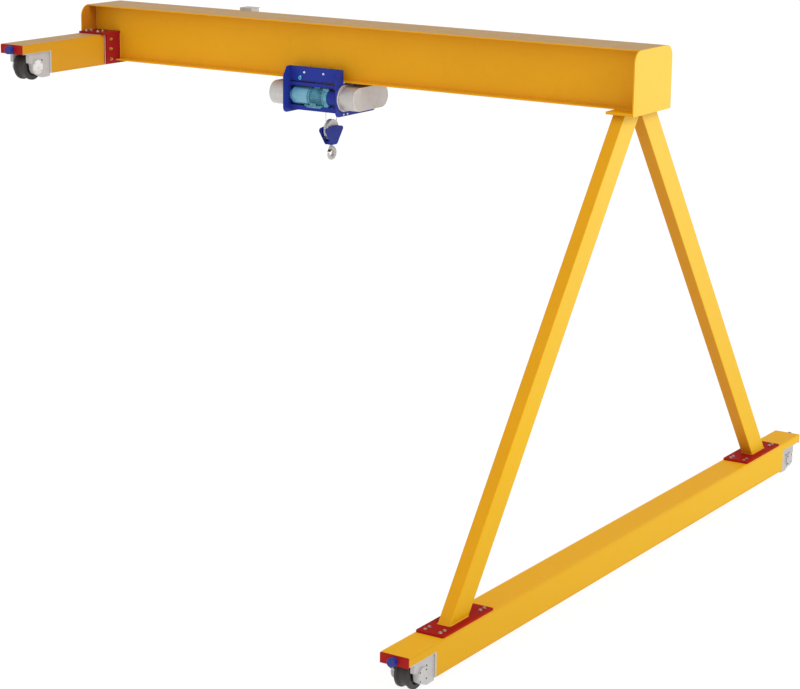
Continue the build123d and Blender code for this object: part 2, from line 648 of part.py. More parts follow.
print("leg angle", math.degrees(math.atan(leg_slope)), "inner cross", inner_cross)
print("floor level", LOW_BOT + WH_Z - WH_R)
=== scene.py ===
import bpy, bmesh, math
from mathutils import Vector, Matrix, noise


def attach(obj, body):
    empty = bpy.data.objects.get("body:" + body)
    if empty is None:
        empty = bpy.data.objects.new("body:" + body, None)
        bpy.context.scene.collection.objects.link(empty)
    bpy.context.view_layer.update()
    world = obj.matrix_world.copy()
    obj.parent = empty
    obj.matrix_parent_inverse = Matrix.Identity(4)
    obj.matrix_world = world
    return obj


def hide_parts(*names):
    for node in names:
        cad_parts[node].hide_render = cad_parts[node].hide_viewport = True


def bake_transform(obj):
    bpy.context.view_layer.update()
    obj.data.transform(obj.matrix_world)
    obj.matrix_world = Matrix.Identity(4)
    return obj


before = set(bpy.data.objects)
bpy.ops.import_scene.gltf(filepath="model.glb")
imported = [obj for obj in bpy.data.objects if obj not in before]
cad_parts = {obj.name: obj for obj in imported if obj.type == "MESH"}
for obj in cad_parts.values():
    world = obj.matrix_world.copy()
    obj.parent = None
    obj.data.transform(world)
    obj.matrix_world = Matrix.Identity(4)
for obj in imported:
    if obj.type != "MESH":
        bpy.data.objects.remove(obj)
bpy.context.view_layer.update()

# ------------------------------------------------------------------ numbers
SPAN = 7.316
UP, LO = 1.925, 4.760            # half lengths of the carriages
LOWB, LOWT = -5.162, -4.799      # floor carriage underside and top
FLOOR = -5.228
JX = 0.212                       # face of the bolted side plate
CAR = 0.168                      # half width of a carriage
WU, WZ = 0.270, 0.094            # wheel axle: in from the carriage end, up from its underside
TWX, TWZ = (3.106, 3.380), 0.1263
MY, MZ = -0.230, -0.157          # motor axis
DY, DZ = 0.2065, -0.152          # drum axis
WEB = 0.165
HX, SZ = 3.288, -0.569           # hook block centre, sheave pin


# ------------------------------------------------------------------ materials
def S(r, g, b):
    """sRGB 0..255 to linear"""
    def c(v):
        v /= 255
        return v / 12.92 if v <= 0.04045 else ((v + 0.055) / 1.055) ** 2.4
    return (c(r), c(g), c(b), 1)


def base_mat(name):
    m = bpy.data.materials.new(name)
    m.use_nodes = True
    nt = m.node_tree
    b = nt.nodes["Principled BSDF"]
    tc = nt.nodes.new("ShaderNodeTexCoord")
    return m, nt, b, tc


def tex_noise(nt, tc, scale, detail=4, rough=0.55, dist=0.0, stretch=None):
    n = nt.nodes.new("ShaderNodeTexNoise")
    n.inputs["Scale"].default_value = scale
    n.inputs["Detail"].default_value = detail
    n.inputs["Roughness"].default_value = rough
    n.inputs["Distortion"].default_value = dist
    if stretch:
        mp = nt.nodes.new("ShaderNodeMapping")
        mp.inputs["Scale"].default_value = stretch
        nt.links.new(tc.outputs["Object"], mp.inputs["Vector"])
        nt.links.new(mp.outputs["Vector"], n.inputs["Vector"])
    else:
        nt.links.new(tc.outputs["Object"], n.inputs["Vector"])
    return n


def ramp(nt, src, stops):
    r = nt.nodes.new("ShaderNodeValToRGB")
    e = r.color_ramp.elements
    while len(e) > 2:
        e.remove(e[-1])
    for i, (p, c) in enumerate(stops):
        if i < 2:
            e[i].position = p
            e[i].color = c
        else:
            x = e.new(p)
            x.color = c
    nt.links.new(src, r.inputs["Fac"])
    return r


def mix(nt, a, b, fac, kind="MIX"):
    n = nt.nodes.new("ShaderNodeMix")
    n.data_type = "RGBA"
    n.blend_type = kind
    for s, v in (("A", a), ("B", b), ("Factor", fac)):
        socks = [i for i in n.inputs if i.name == s and (i.type == "RGBA" if s != "Factor" else i.type == "VALUE")]
        if isinstance(v, (int, float)):
            socks[0].default_value = v
        elif isinstance(v, tuple):
            socks[0].default_value = v
        else:
            nt.links.new(v, socks[0])
    return [o for o in n.outputs if o.type == "RGBA"][0]


def maprange(nt, src, a, b, c, d):
    n = nt.nodes.new("ShaderNodeMapRange")
    n.inputs["From Min"].default_value = a
    n.inputs["From Max"].default_value = b
    n.inputs["To Min"].default_value = c
    n.inputs["To Max"].default_value = d
    nt.links.new(src, n.inputs["Value"])
    return n.outputs["Result"]


def bumped(nt, b, src, strength, dist, prev=None):
    n = nt.nodes.new("ShaderNodeBump")
    n.inputs["Strength"].default_value = strength
    n.inputs["Distance"].default_value = dist
    nt.links.new(src, n.inputs["Height"])
    if prev is not None:
        nt.links.new(prev, n.inputs["Normal"])
    nt.links.new(n.outputs["Normal"], b.inputs["Normal"])
    return n.outputs["Normal"]


def scaled(c, k):
    return (min(c[0] * k, 1), min(c[1] * k, 1), min(c[2] * k, 1), 1)


def paint(name, col, rough=0.36, var=0.07, coat=0.0, peel=0.10, dust_and_top_light=0.10, dust_and_top_light_col=(0.34, 0.33, 0.28, 1), ior=1.5, spec=0.16,
          patchy=(0.45, 1.2), painted_light_and_shade=None, under_shade=None):
    """sprayed enamel on rolled plate: slow shade drift, orange peel, slight waviness, a thin dusting on what faces up,
    which in the yellows is a tint painting the tops lighter or duller (painted light and shade);
    optional colour stops, set by height, repaint the +X side (painted light and shade), and an optional colour darkens
    what faces down (painted shade)"""
    m, nt, b, tc = base_mat(name)
    big = tex_noise(nt, tc, 0.9, 3, 0.5)
    mid = tex_noise(nt, tc, 9.0, 5, 0.6)
    fine = tex_noise(nt, tc, 330.0, 2, 0.5)
    wav = tex_noise(nt, tc, 4.0, 2, 0.5)
    c1 = ramp(nt, big.outputs["Fac"], [(0.25, scaled(col, 1 - var)), (0.75, scaled(col, 1 + var))])
    c2 = mix(nt, c1.outputs["Color"], scaled(col, 0.86), maprange(nt, mid.outputs["Fac"], 0.52, 0.80, 0.0, 0.35))
    geo = nt.nodes.new("ShaderNodeNewGeometry")
    sep = nt.nodes.new("ShaderNodeSeparateXYZ")
    nt.links.new(geo.outputs["Normal"], sep.inputs[0])
    # upward faces take the top colour: a thin grey dusting in most paints, in the yellows a tint that paints tops
    # lighter or duller (painted light and shade)
    up = maprange(nt, sep.outputs["Z"], 0.6, 1.0, 0.0, dust_and_top_light)
    mul = nt.nodes.new("ShaderNodeMath")
    mul.operation = "MULTIPLY"
    nt.links.new(up, mul.inputs[0])
    nt.links.new(maprange(nt, mid.outputs["Fac"], 0.3, 0.7, patchy[0], patchy[1]), mul.inputs[1])
    # +X faces take colour stops set by height: painted light and shade
    if painted_light_and_shade:
        dot = nt.nodes.new("ShaderNodeVectorMath")
        dot.operation = "DOT_PRODUCT"
        nt.links.new(tc.outputs["Object"], dot.inputs[0])
        dot.inputs[1].default_value = (0, 0.25, 1.0)
        lit = ramp(nt, maprange(nt, dot.outputs["Value"], -6.2, 0.8, 0.0, 1.0), painted_light_and_shade)
        c2 = mix(nt, c2, lit.outputs["Color"], maprange(nt, sep.outputs["X"], 0.45, 0.95, 0.0, 1.0))
    # downward faces blend towards a darker colour: painted shade
    if under_shade:
        c2 = mix(nt, c2, under_shade, maprange(nt, sep.outputs["Z"], -0.25, -0.75, 0.0, 0.62))
    c3 = mix(nt, c2, dust_and_top_light_col, mul.outputs[0])
    nt.links.new(c3, b.inputs["Base Color"])
    nt.links.new(maprange(nt, mid.outputs["Fac"], 0.3, 0.7, rough - 0.05, rough + 0.09), b.inputs["Roughness"])
    b.inputs["Coat Weight"].default_value = coat
    b.inputs["Coat Roughness"].default_value = 0.12
    b.inputs["IOR"].default_value = ior
    b.inputs["Specular IOR Level"].default_value = spec
    p = bumped(nt, b, wav.outputs["Fac"], 0.10, 0.01)
    bumped(nt, b, fine.outputs["Fac"], peel, 0.0006, p)
    return m


def cast(name, col, rough=0.5, metal=0.0, grain=0.35, var=0.12, scale=240.0):
    """sand-cast or rubbery surface with a pebbled grain"""
    m, nt, b, tc = base_mat(name)
    big = tex_noise(nt, tc, 14.0, 5, 0.6)
    fine = tex_noise(nt, tc, scale, 4, 0.7)
    c1 = ramp(nt, big.outputs["Fac"], [(0.3, scaled(col, 1 - var)), (0.7, scaled(col, 1 + var))])
    c2 = mix(nt, c1.outputs["Color"], scaled(col, 0.7), maprange(nt, fine.outputs["Fac"], 0.55, 0.75, 0.0, 0.4))
    nt.links.new(c2, b.inputs["Base Color"])
    b.inputs["Metallic"].default_value = metal
    nt.links.new(maprange(nt, big.outputs["Fac"], 0.3, 0.7, rough - 0.08, rough + 0.1), b.inputs["Roughness"])
    bumped(nt, b, fine.outputs["Fac"], grain, 0.0012)
    return m


def steel(name, col, rough=0.3, aniso=0.0, stretch=(1, 1, 1), scale=60.0, grain=0.15, var=0.08, metal=1.0):
    """bare or plated metal with a directional finish"""
    m, nt, b, tc = base_mat(name)
    lines = tex_noise(nt, tc, scale, 5, 0.65, 0.0, stretch)
    blot = tex_noise(nt, tc, 11.0, 4, 0.6)
    c1 = ramp(nt, blot.outputs["Fac"], [(0.3, scaled(col, 1 - var)), (0.72, scaled(col, 1 + var))])
    c2 = mix(nt, c1.outputs["Color"], scaled(col, 0.82), maprange(nt, lines.outputs["Fac"], 0.5, 0.8, 0.0, 0.5))
    nt.links.new(c2, b.inputs["Base Color"])
    b.inputs["Metallic"].default_value = metal
    nt.links.new(maprange(nt, lines.outputs["Fac"], 0.25, 0.75, rough - 0.06, rough + 0.10), b.inputs["Roughness"])
    b.inputs["Anisotropic"].default_value = aniso
    bumped(nt, b, lines.outputs["Fac"], grain, 0.0006)
    return m


YEL = S(228, 162, 26)
M_BARREL = paint("motor_barrel_enamel", S(98, 164, 188), rough=0.24, var=0.06, coat=0.8, dust_and_top_light=0.0, spec=0.6)
# colour stops for the +X side set by height: the first set paints light growing with height, the second paints the
# runway carriage's +X side darker; then a darker orange for downward faces. All three are painted light and shade
LIT = [(0.0, S(214, 158, 4)), (0.34, S(234, 182, 24)), (0.94, S(246, 206, 84))]
LIT_UP = [(0.0, S(204, 144, 22)), (1.0, S(207, 147, 26))]
UNDER_SHADE = S(168, 96, 30)
# main yellow: its upward faces take a bright yellow tint that paints the tops lit like the sides (painted light), plus
# the +X and downward painting above
M_YEL = paint("yellow_enamel", YEL, rough=0.42, var=0.03, dust_and_top_light=0.80, dust_and_top_light_col=S(252, 187, 0), patchy=(0.86, 1.06), painted_light_and_shade=LIT, under_shade=UNDER_SHADE, spec=0.08)
# girder top: a grey-tan tint dulls the upward faces (painted shade), plus the +X and downward painting
M_TOP = paint("yellow_enamel_top_painted_shade", YEL, rough=0.46, var=0.03, dust_and_top_light=0.52, dust_and_top_light_col=S(158, 156, 142), patchy=(0.80, 1.10), painted_light_and_shade=LIT, under_shade=UNDER_SHADE)
# runway carriage: +X faces painted a darker yellow and upward faces dulled grey-tan (painted shade)
M_UPC = paint("yellow_enamel_runway_painted_shade", YEL, rough=0.46, var=0.03, dust_and_top_light=0.52, dust_and_top_light_col=S(158, 156, 142), patchy=(0.80, 1.10), painted_light_and_shade=LIT_UP, under_shade=UNDER_SHADE)
# girder's left end plate: a darker, more orange copy of the yellow on its +X face, plus the downward painting (painted
# shade)
M_ENL = paint("yellow_enamel_end_painted_shade", YEL, rough=0.46, var=0.03, dust_and_top_light=0.0, painted_light_and_shade=[(0.0, S(192, 120, 24)), (1.0, S(192, 120, 26))], under_shade=UNDER_SHADE, spec=0.06)
M_RED = paint("red_enamel", S(150, 27, 33), rough=0.40, var=0.05, dust_and_top_light=0.0, spec=0.08)
M_RED_P = paint("red_enamel_plates", S(166, 28, 18), rough=0.46, var=0.05, dust_and_top_light=0.0, spec=0.02)
M_RED_E = paint("red_enamel_ends", S(164, 27, 22), rough=0.40, var=0.06, dust_and_top_light=0.0, spec=0.10)
M_BLUE = paint("blue_enamel", S(36, 52, 147), rough=0.36, var=0.09, dust_and_top_light=0.06, spec=0.14)
M_GREY = paint("grey_enamel", S(206, 206, 204), rough=0.42, var=0.05, dust_and_top_light=0.06, spec=0.3)
M_PANEL = paint("panel_enamel", S(196, 192, 190), rough=0.40, var=0.05, dust_and_top_light=0.10, spec=0.3)
M_CYAN = paint("motor_enamel", S(92, 160, 182), rough=0.22, var=0.08, coat=0.7, dust_and_top_light=0.04, spec=0.6)
M_CYAN_C = cast("motor_casting", S(84, 152, 174), rough=0.32, grain=1.0, var=0.45, scale=70)
M_CAST = cast("block_casting", S(185, 182, 180), rough=0.44, metal=0.10, grain=0.30, var=0.05, scale=300)
M_CAP = steel("bearing_cap", S(224, 224, 223), rough=0.34, scale=45, metal=0.2, grain=0.1)
M_CAP_L = cast("bearing_cap_painted", S(188, 185, 183), rough=0.40, metal=0.10, grain=0.15, var=0.04, scale=300)
M_COVER = steel("cover_metal_left", S(204, 200, 196), rough=0.34, stretch=(1, 6, 6), scale=60, grain=0.08, metal=0.35)
# the right cover's metal is a darker copy of the left cover's: painted shade
M_COVER_R = steel("cover_metal_right", S(196, 191, 187), rough=0.34, stretch=(1, 6, 6), scale=60, grain=0.08, metal=0.45)
M_RIM = steel("cover_rim", S(236, 228, 216), rough=0.36, scale=50, metal=0.25, grain=0.06)
M_TYRE = cast("wheel_black", S(50, 45, 42), rough=0.5, metal=0.1, grain=0.25, var=0.2, scale=180)
M_BUFFER = cast("buffer_rubber", S(16, 35, 130), rough=0.42, grain=0.2, var=0.10, scale=260)
M_ZINC = steel("zinc_plate", S(196, 196, 186), rough=0.30, scale=90, grain=0.12)
M_STEEL = steel("bright_steel", S(205, 200, 194), rough=0.26, scale=40, grain=0.12)
M_SHEAVE = steel("sheave_metal", S(224, 221, 218), rough=0.42, scale=50, metal=0.08, grain=0.08)
M_HOOK = steel("hook_metal", S(192, 189, 186), rough=0.34, scale=50, metal=0.40, grain=0.10)
M_DARK = steel("dark_steel", S(70, 68, 66), rough=0.45, scale=50, metal=0.8, grain=0.2)
M_ROPE = steel("rope_wire", S(226, 225, 222), rough=0.50, scale=900, grain=0.2, metal=0.2)
M_BRASS = steel("passivated", S(206, 176, 92), rough=0.30, scale=80, grain=0.1)
M_NUT = steel("axle_nut", S(240, 240, 238), rough=0.4, scale=80, metal=0.1, grain=0.08)
M_LATCH = steel("latch_steel", S(84, 80, 78), rough=0.35, scale=60, metal=0.6, grain=0.1)
M_BLACK = cast("black_plastic", S(26, 26, 28), rough=0.5, grain=0.15, var=0.15, scale=400)
M_EYE = paint("eye_enamel", S(84, 196, 222), rough=0.25, var=0.05, dust_and_top_light=0.0, spec=0.5)
M_WELD = paint("yellow_weld", scaled(YEL, 0.95), rough=0.36, var=0.08, peel=0.25, dust_and_top_light=0.20)
M_WELD_R = paint("red_weld", S(150, 26, 28), rough=0.40, var=0.08, peel=0.25, dust_and_top_light=0.0, spec=0.08)
M_WELD_B = paint("blue_weld", S(30, 42, 138), rough=0.36, var=0.10, peel=0.25, dust_and_top_light=0.04)

node_mats = {
    "girder_top_flange": M_TOP, "girder_bottom_flange": M_YEL, "girder_front_web": M_YEL, "girder_rear_web": M_YEL,
    "girder_left_end_plate": M_ENL, "girder_right_end_plate": M_YEL, "joint_top_plate": M_RED,
    "joint_side_plate": M_RED, "joint_packing_plate": M_GREY, "upper_carriage": M_UPC, "lower_carriage": M_YEL,
    "carriage_end_plates": M_RED_E, "buffers": M_BUFFER, "upper_wheel_blocks": M_CAST, "lower_wheel_blocks": M_CAST,
    "leg_top_plate": M_YEL, "front_leg": M_YEL, "rear_leg": M_YEL, "leg_head_gusset": M_YEL, "leg_base_plates": M_RED_P,
    "electrical_panel": M_PANEL, "panel_brackets": M_PANEL, "upper_front_wheel": M_TYRE, "upper_rear_wheel": M_TYRE,
    "lower_front_wheel": M_TYRE, "lower_rear_wheel": M_TYRE, "trolley_left_plate": M_BLUE,
    "trolley_right_plate": M_BLUE, "trolley_front_frame": M_BLUE, "trolley_rear_frame": M_BLUE,
    "gear_motor": M_BARREL, "rope_drum": M_DARK, "rope_anchor_bar": M_BLUE, "left_end_cover": M_COVER,
    "right_end_cover": M_COVER_R, "trolley_wheel_front_left": M_STEEL, "trolley_wheel_front_right": M_STEEL,
    "trolley_wheel_rear_left": M_STEEL, "trolley_wheel_rear_right": M_STEEL, "rope_fall_drum": M_ROPE,
    "rope_fall_anchor": M_ROPE, "hook_block_plates": M_BLUE, "sheave": M_SHEAVE, "hook_crosshead": M_BLUE,
    "hook": M_HOOK,
}
for n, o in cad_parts.items():
    o.data.materials.clear()
    o.data.materials.append(node_mats[n])


# ------------------------------------------------------------------ mesh tools
class Kit:
    """collects primitives into one mesh piece"""

    def __init__(self, name, body, mat, slot):
        self.name, self.body, self.mat, self.slot = name, body, mat, slot
        self.bm = bmesh.new()

    def lathe(self, origin, axis, profile, seg=32, flats=False, spin=0.0):
        """profile is [(radius, along)...] from one end to the other"""
        a = Vector(axis).normalized()
        ref = Vector((0, 0, 1)) if abs(a.z) < 0.9 else Vector((1, 0, 0))
        u = a.cross(ref).normalized()
        v = a.cross(u)
        o = Vector(origin)
        rings = []
        for r, t in profile:
            if r < 1e-7:
                rings.append([self.bm.verts.new(o + a * t)])
            else:
                rings.append([self.bm.verts.new(o + a * t + (u * math.cos(spin + 2 * math.pi * i / seg)
                                                              + v * math.sin(spin + 2 * math.pi * i / seg)) * r)
                              for i in range(seg)])
        for p, q in zip(rings, rings[1:]):
            for i in range(seg):
                j = (i + 1) % seg
                if len(p) == 1 and len(q) == 1:
                    continue
                if len(p) == 1:
                    f = (p[0], q[i], q[j])
                elif len(q) == 1:
                    f = (p[i], q[0], p[j])
                else:
                    f = (p[i], q[i], q[j], p[j])
                self.bm.faces.new(f)
        if len(rings[0]) > 1 and len(rings[-1]) > 1 and abs(profile[0][1] - profile[-1][1]) < 1e-6:
            p, q = rings[-1], rings[0]                            # an annular section closes on itself
            for i in range(seg):
                j = (i + 1) % seg
                self.bm.faces.new((p[i], q[i], q[j], p[j]))
            return
        if len(rings[0]) > 1:
            self.bm.faces.new(rings[0][::-1])
        if len(rings[-1]) > 1:
            self.bm.faces.new(rings[-1])

    def bolt(self, p, axis, af=0.030, head=0.013, washer=0.019, wt=0.003, stud=0.0, spin=0.3):
        """hexagon head with a washer; with stud, a nut with a thread end standing out"""
        c = 0.0012
        self.lathe(p, axis, [(washer - 0.0005, -0.001), (washer, 0.0005), (washer, wt - 0.0006), (washer - 0.0008, wt), (0, wt)], 28)
        r = af / math.sqrt(3)
        self.lathe(p, axis, [(r, wt - 0.0005), (r, wt + head - c), (r * 0.88, wt + head), (0, wt + head)], 6, spin=spin)
        if stud > 0:
            rs = af * 0.32
            self.lathe(p, axis, [(rs, wt + head - 0.001), (rs, wt + head + stud - 0.002), (rs * 0.75, wt + head + stud), (0, wt + head + stud)], 18)

    def screw(self, p, axis, r=0.007, h=0.005, hexr=0.0034):
        """socket cap screw"""
        self.lathe(p, axis, [(r, -0.001), (r, h * 0.75), (r * 0.86, h), (hexr, h), (hexr, h * 0.45), (0, h * 0.45)], 24)

    def box(self, lo, hi, bev=0.0, seg=2, rot=None, about=None):
        lo, hi = Vector(lo), Vector(hi)
        c, d = (lo + hi) / 2, hi - lo
        geo = bmesh.ops.create_cube(self.bm, size=1.0)
        vs = geo["verts"]
        for v in vs:
            v.co = Vector((v.co.x * d.x, v.co.y * d.y, v.co.z * d.z)) + c
        if bev > 0:
            es = list({e for v in vs for e in v.link_edges})
            res = bmesh.ops.bevel(self.bm, geom=es, offset=bev, segments=seg, profile=0.7, affect="EDGES")
            vs = list({v for f in res["faces"] for v in f.verts} | {v for v in vs if v.is_valid})
        if rot is not None:
            piv = Vector(about) if about is not None else c
            for v in vs:
                v.co = rot @ (v.co - piv) + piv
        return vs

    def prism(self, pts, plane, lo, hi, bev=0.0, seg=2):
        """polygon extruded from lo to hi along the axis missing from plane ('yz', 'xz' or 'xy')"""
        def P(a, b, t):
            return {"yz": (t, a, b), "xz": (a, t, b), "xy": (a, b, t)}[plane]
        bot = [self.bm.verts.new(P(a, b, lo)) for a, b in pts]
        top = [self.bm.verts.new(P(a, b, hi)) for a, b in pts]
        fs = [self.bm.faces.new(bot[::-1]), self.bm.faces.new(top)]
        n = len(pts)
        for i in range(n):
            j = (i + 1) % n
            fs.append(self.bm.faces.new((bot[i], bot[j], top[j], top[i])))
        if bev > 0:
            es = list({e for f in fs[:2] for e in f.edges})
            bmesh.ops.bevel(self.bm, geom=es, offset=bev, segments=seg, profile=0.7, affect="EDGES")

    def tube(self, pts, r, seg=10, closed=False, caps=True, radii=None):
        pts = [Vector(p) for p in pts]
        n = len(pts)
        t0 = (pts[1] - pts[0]).normalized()
        ref = Vector((0, 0, 1)) if abs(t0.z) < 0.9 else Vector((1, 0, 0))
        nrm = t0.cross(ref).normalized()
        rings = []
        for i in range(n):
            if i == 0:
                t = (pts[1] - pts[0]).normalized()
            elif i == n - 1:
                t = (pts[-1] - pts[-2]).normalized()
            else:
                t = (pts[i + 1] - pts[i - 1]).normalized()
            nrm = (nrm - t * nrm.dot(t)).normalized()
            bi = t.cross(nrm)
            rr = radii[i] if radii else r
            rings.append([self.bm.verts.new(pts[i] + (nrm * math.cos(2 * math.pi * k / seg) + bi * math.sin(2 * math.pi * k / seg)) * rr)
                          for k in range(seg)])
        for p, q in zip(rings, rings[1:]):
            for k in range(seg):
                self.bm.faces.new((p[k], p[(k + 1) % seg], q[(k + 1) % seg], q[k]))
        if caps:
            self.bm.faces.new(rings[0][::-1])
            self.bm.faces.new(rings[-1])

    def bead(self, p0, p1, a, b, size=0.007, step=0.006, seed=0.0):
        """fillet weld from p0 to p1 in the corner between directions a and b, with ripples"""
        p0, p1, a, b = Vector(p0), Vector(p1), Vector(a).normalized(), Vector(b).normalized()
        length = (p1 - p0).length
        n = max(2, int(length / step))
        rings = []
        for i in range(n + 1):
            t = i / n
            c = p0.lerp(p1, t)
            k = 1.0 + (0.10 if i % 2 else -0.06) + 0.12 * noise.noise(Vector((t * length * 9, seed, 0.3)))
            if i in (0, n):
                k *= 0.55
            s = size * k
            rings.append([self.bm.verts.new(q) for q in (
                c - a * 0.0006 - b * 0.0006, c + a * s, c + a * s * 0.66 + b * s * 0.28,
                c + a * s * 0.28 + b * s * 0.66, c + b * s)])
        for p, q in zip(rings, rings[1:]):
            for k in range(5):
                self.bm.faces.new((p[k], p[(k + 1) % 5], q[(k + 1) % 5], q[k]))
        self.bm.faces.new(rings[0][::-1])
        self.bm.faces.new(rings[-1])

    def done(self, sharp=0.55, replaces=None, blend=None):
        bmesh.ops.recalc_face_normals(self.bm, faces=self.bm.faces)
        for f in self.bm.faces:
            f.smooth = True
        for e in self.bm.edges:
            if len(e.link_faces) == 2:
                e.smooth = e.calc_face_angle(0) < sharp
        me = bpy.data.meshes.new(self.name)
        self.bm.to_mesh(me)
        self.bm.free()
        ob = bpy.data.objects.new(self.name, me)
        bpy.context.scene.collection.objects.link(ob)
        me.materials.append(self.mat)
        if blend:
            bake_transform(ob)
        else:
            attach(ob, self.body)
        if replaces:
            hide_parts(*replaces)
        return ob


# ------------------------------------------------------------------ crane frame: bolts
k = Kit("frame_bolts", "crane_frame", M_ZINC, "hook_steel")
for s in (-1, 1):
    for y in (3.195, 3.275, 3.977, 4.057):                       # leg base plates
        for x in (SPAN - 0.090, SPAN + 0.090):
            k.bolt((x, s * y, LOWT + 0.024), (0, 0, 1), 0.030, 0.010, 0.0205, 0.003, spin=x * 7 + y)
    for y in (0.364, 0.455):                                      # joint top plate
        for x in (-0.085, 0.096):
            k.bolt((x, s * y, 0.400), (0, 0, 1), 0.030, 0.013, 0.0205, 0.003, stud=0.010, spin=x * 9 + y)
k.done()
k = Kit("joint_side_bolts", "crane_frame", M_BRASS, "hook_steel")
for s in (-1, 1):
    for z in (0.068, 0.195, 0.315):
        k.bolt((JX, s * 0.350, z), (1, 0, 0), 0.032, 0.014, 0.022, 0.003, stud=0.008, spin=z * 5)
k.done()

# ------------------------------------------------------------------ crane frame: welds
k = Kit("girder_welds", "crane_frame", M_WELD, "yellow_paint")
for s in (-1, 1):
    k.bead((JX + 0.002, s * WEB, 0.057), (7.512, s * WEB, 0.057), (0, s, 0), (0, 0, 1), 0.007, 0.012, 1 + s)
    k.bead((JX, s * WEB, 0.062), (JX, s * WEB, 0.374), (0, s, 0), (1, 0, 0), 0.006, 0.009, 21 + s)
    k.bead((7.166 + 0.075, s * 0.03, 0.012), (7.166 + 0.075, s * 0.36, 0.012), (-1, 0, 0), (0, 0, -1), 0.006, 0.009, 23 + s)
    k.bead((SPAN + 0.075, s * 0.01, 0.012), (SPAN + 0.075, s * 0.364, 0.012), (1, 0, 0), (0, 0, -1), 0.007, 0.009, 25 + s)
    k.bead((SPAN - 0.074, s * 0.3675, 0.012), (SPAN + 0.074, s * 0.3675, 0.012), (0, s, 0), (0, 0, -1), 0.007, 0.009, 27 + s)
    for e in (-1, 1):                                             # leg feet
        k.bead((SPAN + e * 0.075, s * 3.482, LOWT + 0.024), (SPAN + e * 0.075, s * 3.848, LOWT + 0.024), (e, 0, 0), (0, 0, 1), 0.008, 0.009, 30 + s + e)
    k.bead((SPAN - 0.072, s * 3.8505, LOWT + 0.024), (SPAN + 0.072, s * 3.8505, LOWT + 0.024), (0, s, 0), (0, 0, 1), 0.008, 0.009, 34 + s)
    k.bead((SPAN - 0.072, s * 3.4795, LOWT + 0.024), (SPAN + 0.072, s * 3.4795, LOWT + 0.024), (0, -s, 0), (0, 0, 1), 0.008, 0.009, 36 + s)
    k.bead((-0.159, s * WEB, 0.700), (7.512, s * WEB, 0.700), (0, s, 0), (0, 0, -1), 0.007, 0.012, 4 + s)
    k.bead((7.513, s * WEB, 0.066), (7.513, s * WEB, 0.692), (0, s, 0), (-1, 0, 0), 0.007, 0.009, 7 + s)
    k.bead((-0.160, s * WEB, 0.402), (-0.160, s * WEB, 0.692), (0, s, 0), (1, 0, 0), 0.007, 0.009, 9 + s)
    k.bead((7.513, s * 0.172, 0.057), (7.513, s * 0.254, 0.057), (-1, 0, 0), (0, 0, 1), 0.006, 0.008, 11 + s)
    k.bead((7.513, s * 0.172, 0.700), (7.513, s * 0.311, 0.700), (-1, 0, 0), (0, 0, -1), 0.006, 0.008, 13 + s)
    k.bead((7.194, s * 0.255, 0.042), (7.512, s * 0.255, 0.042), (0, s, 0), (0, 0, 1), 0.006, 0.008, 15 + s)
    k.bead((7.513, s * 0.257, 0.042), (7.513, s * 0.446, 0.042), (-1, 0, 0), (0, 0, 1), 0.006, 0.008, 17 + s)
k.bead((7.193, -0.254, 0.042), (7.193, 0.254, 0.042), (-1, 0, 0), (0, 0, -1), 0.003, 0.008, 19)
k.done()

k = Kit("red_welds", "crane_frame", M_WELD_R, "red_paint")
for s in (-1, 1):
    k.bead((SPAN - 0.156, s * 4.117, LOWT), (SPAN + 0.156, s * 4.117, LOWT), (0, s, 0), (0, 0, 1), 0.006, 0.010, 44 + s)
    k.bead((SPAN - 0.156, s * 3.135, LOWT), (SPAN + 0.156, s * 3.135, LOWT), (0, -s, 0), (0, 0, 1), 0.006, 0.010, 46 + s)
    k.bead((CAR + 0.0005, s * 0.422, 0.012), (CAR + 0.0005, s * 0.422, 0.37), (0, s, 0), (1, 0, 0), 0.005, 0.009, 48 + s)
    for x, top, half in ((0.0, 0.375, UP), (SPAN, LOWT, LO)):     # along the top of the end plates
        k.bead((x - 0.160, s * half, top - 0.005), (x + 0.160, s * half, top - 0.005), (0, s, 0), (0, 0, 1), 0.004, 0.008, 50 + s + x)
k.done()

# carriage box seams, ground nearly flush
k = Kit("carriage_seams", "crane_frame", M_WELD, "yellow_paint")
for x, top, bot, half in ((0.0, 0.375, 0.0, UP), (SPAN, LOWT, LOWB, LO)):
    for e in (-1, 1):
        k.bead((x + e * CAR, -half + 0.004, top - 0.014), (x + e * CAR, half - 0.004, top - 0.014), (0, 0, -1), (e, 0, 0), 0.0028, 0.012, 60 + x + e)
        k.bead((x + e * CAR, -half + 0.530, bot + 0.014), (x + e * CAR, half - 0.530, bot + 0.014), (0, 0, 1), (e, 0, 0), 0.0028, 0.012, 64 + x + e)
k.done()

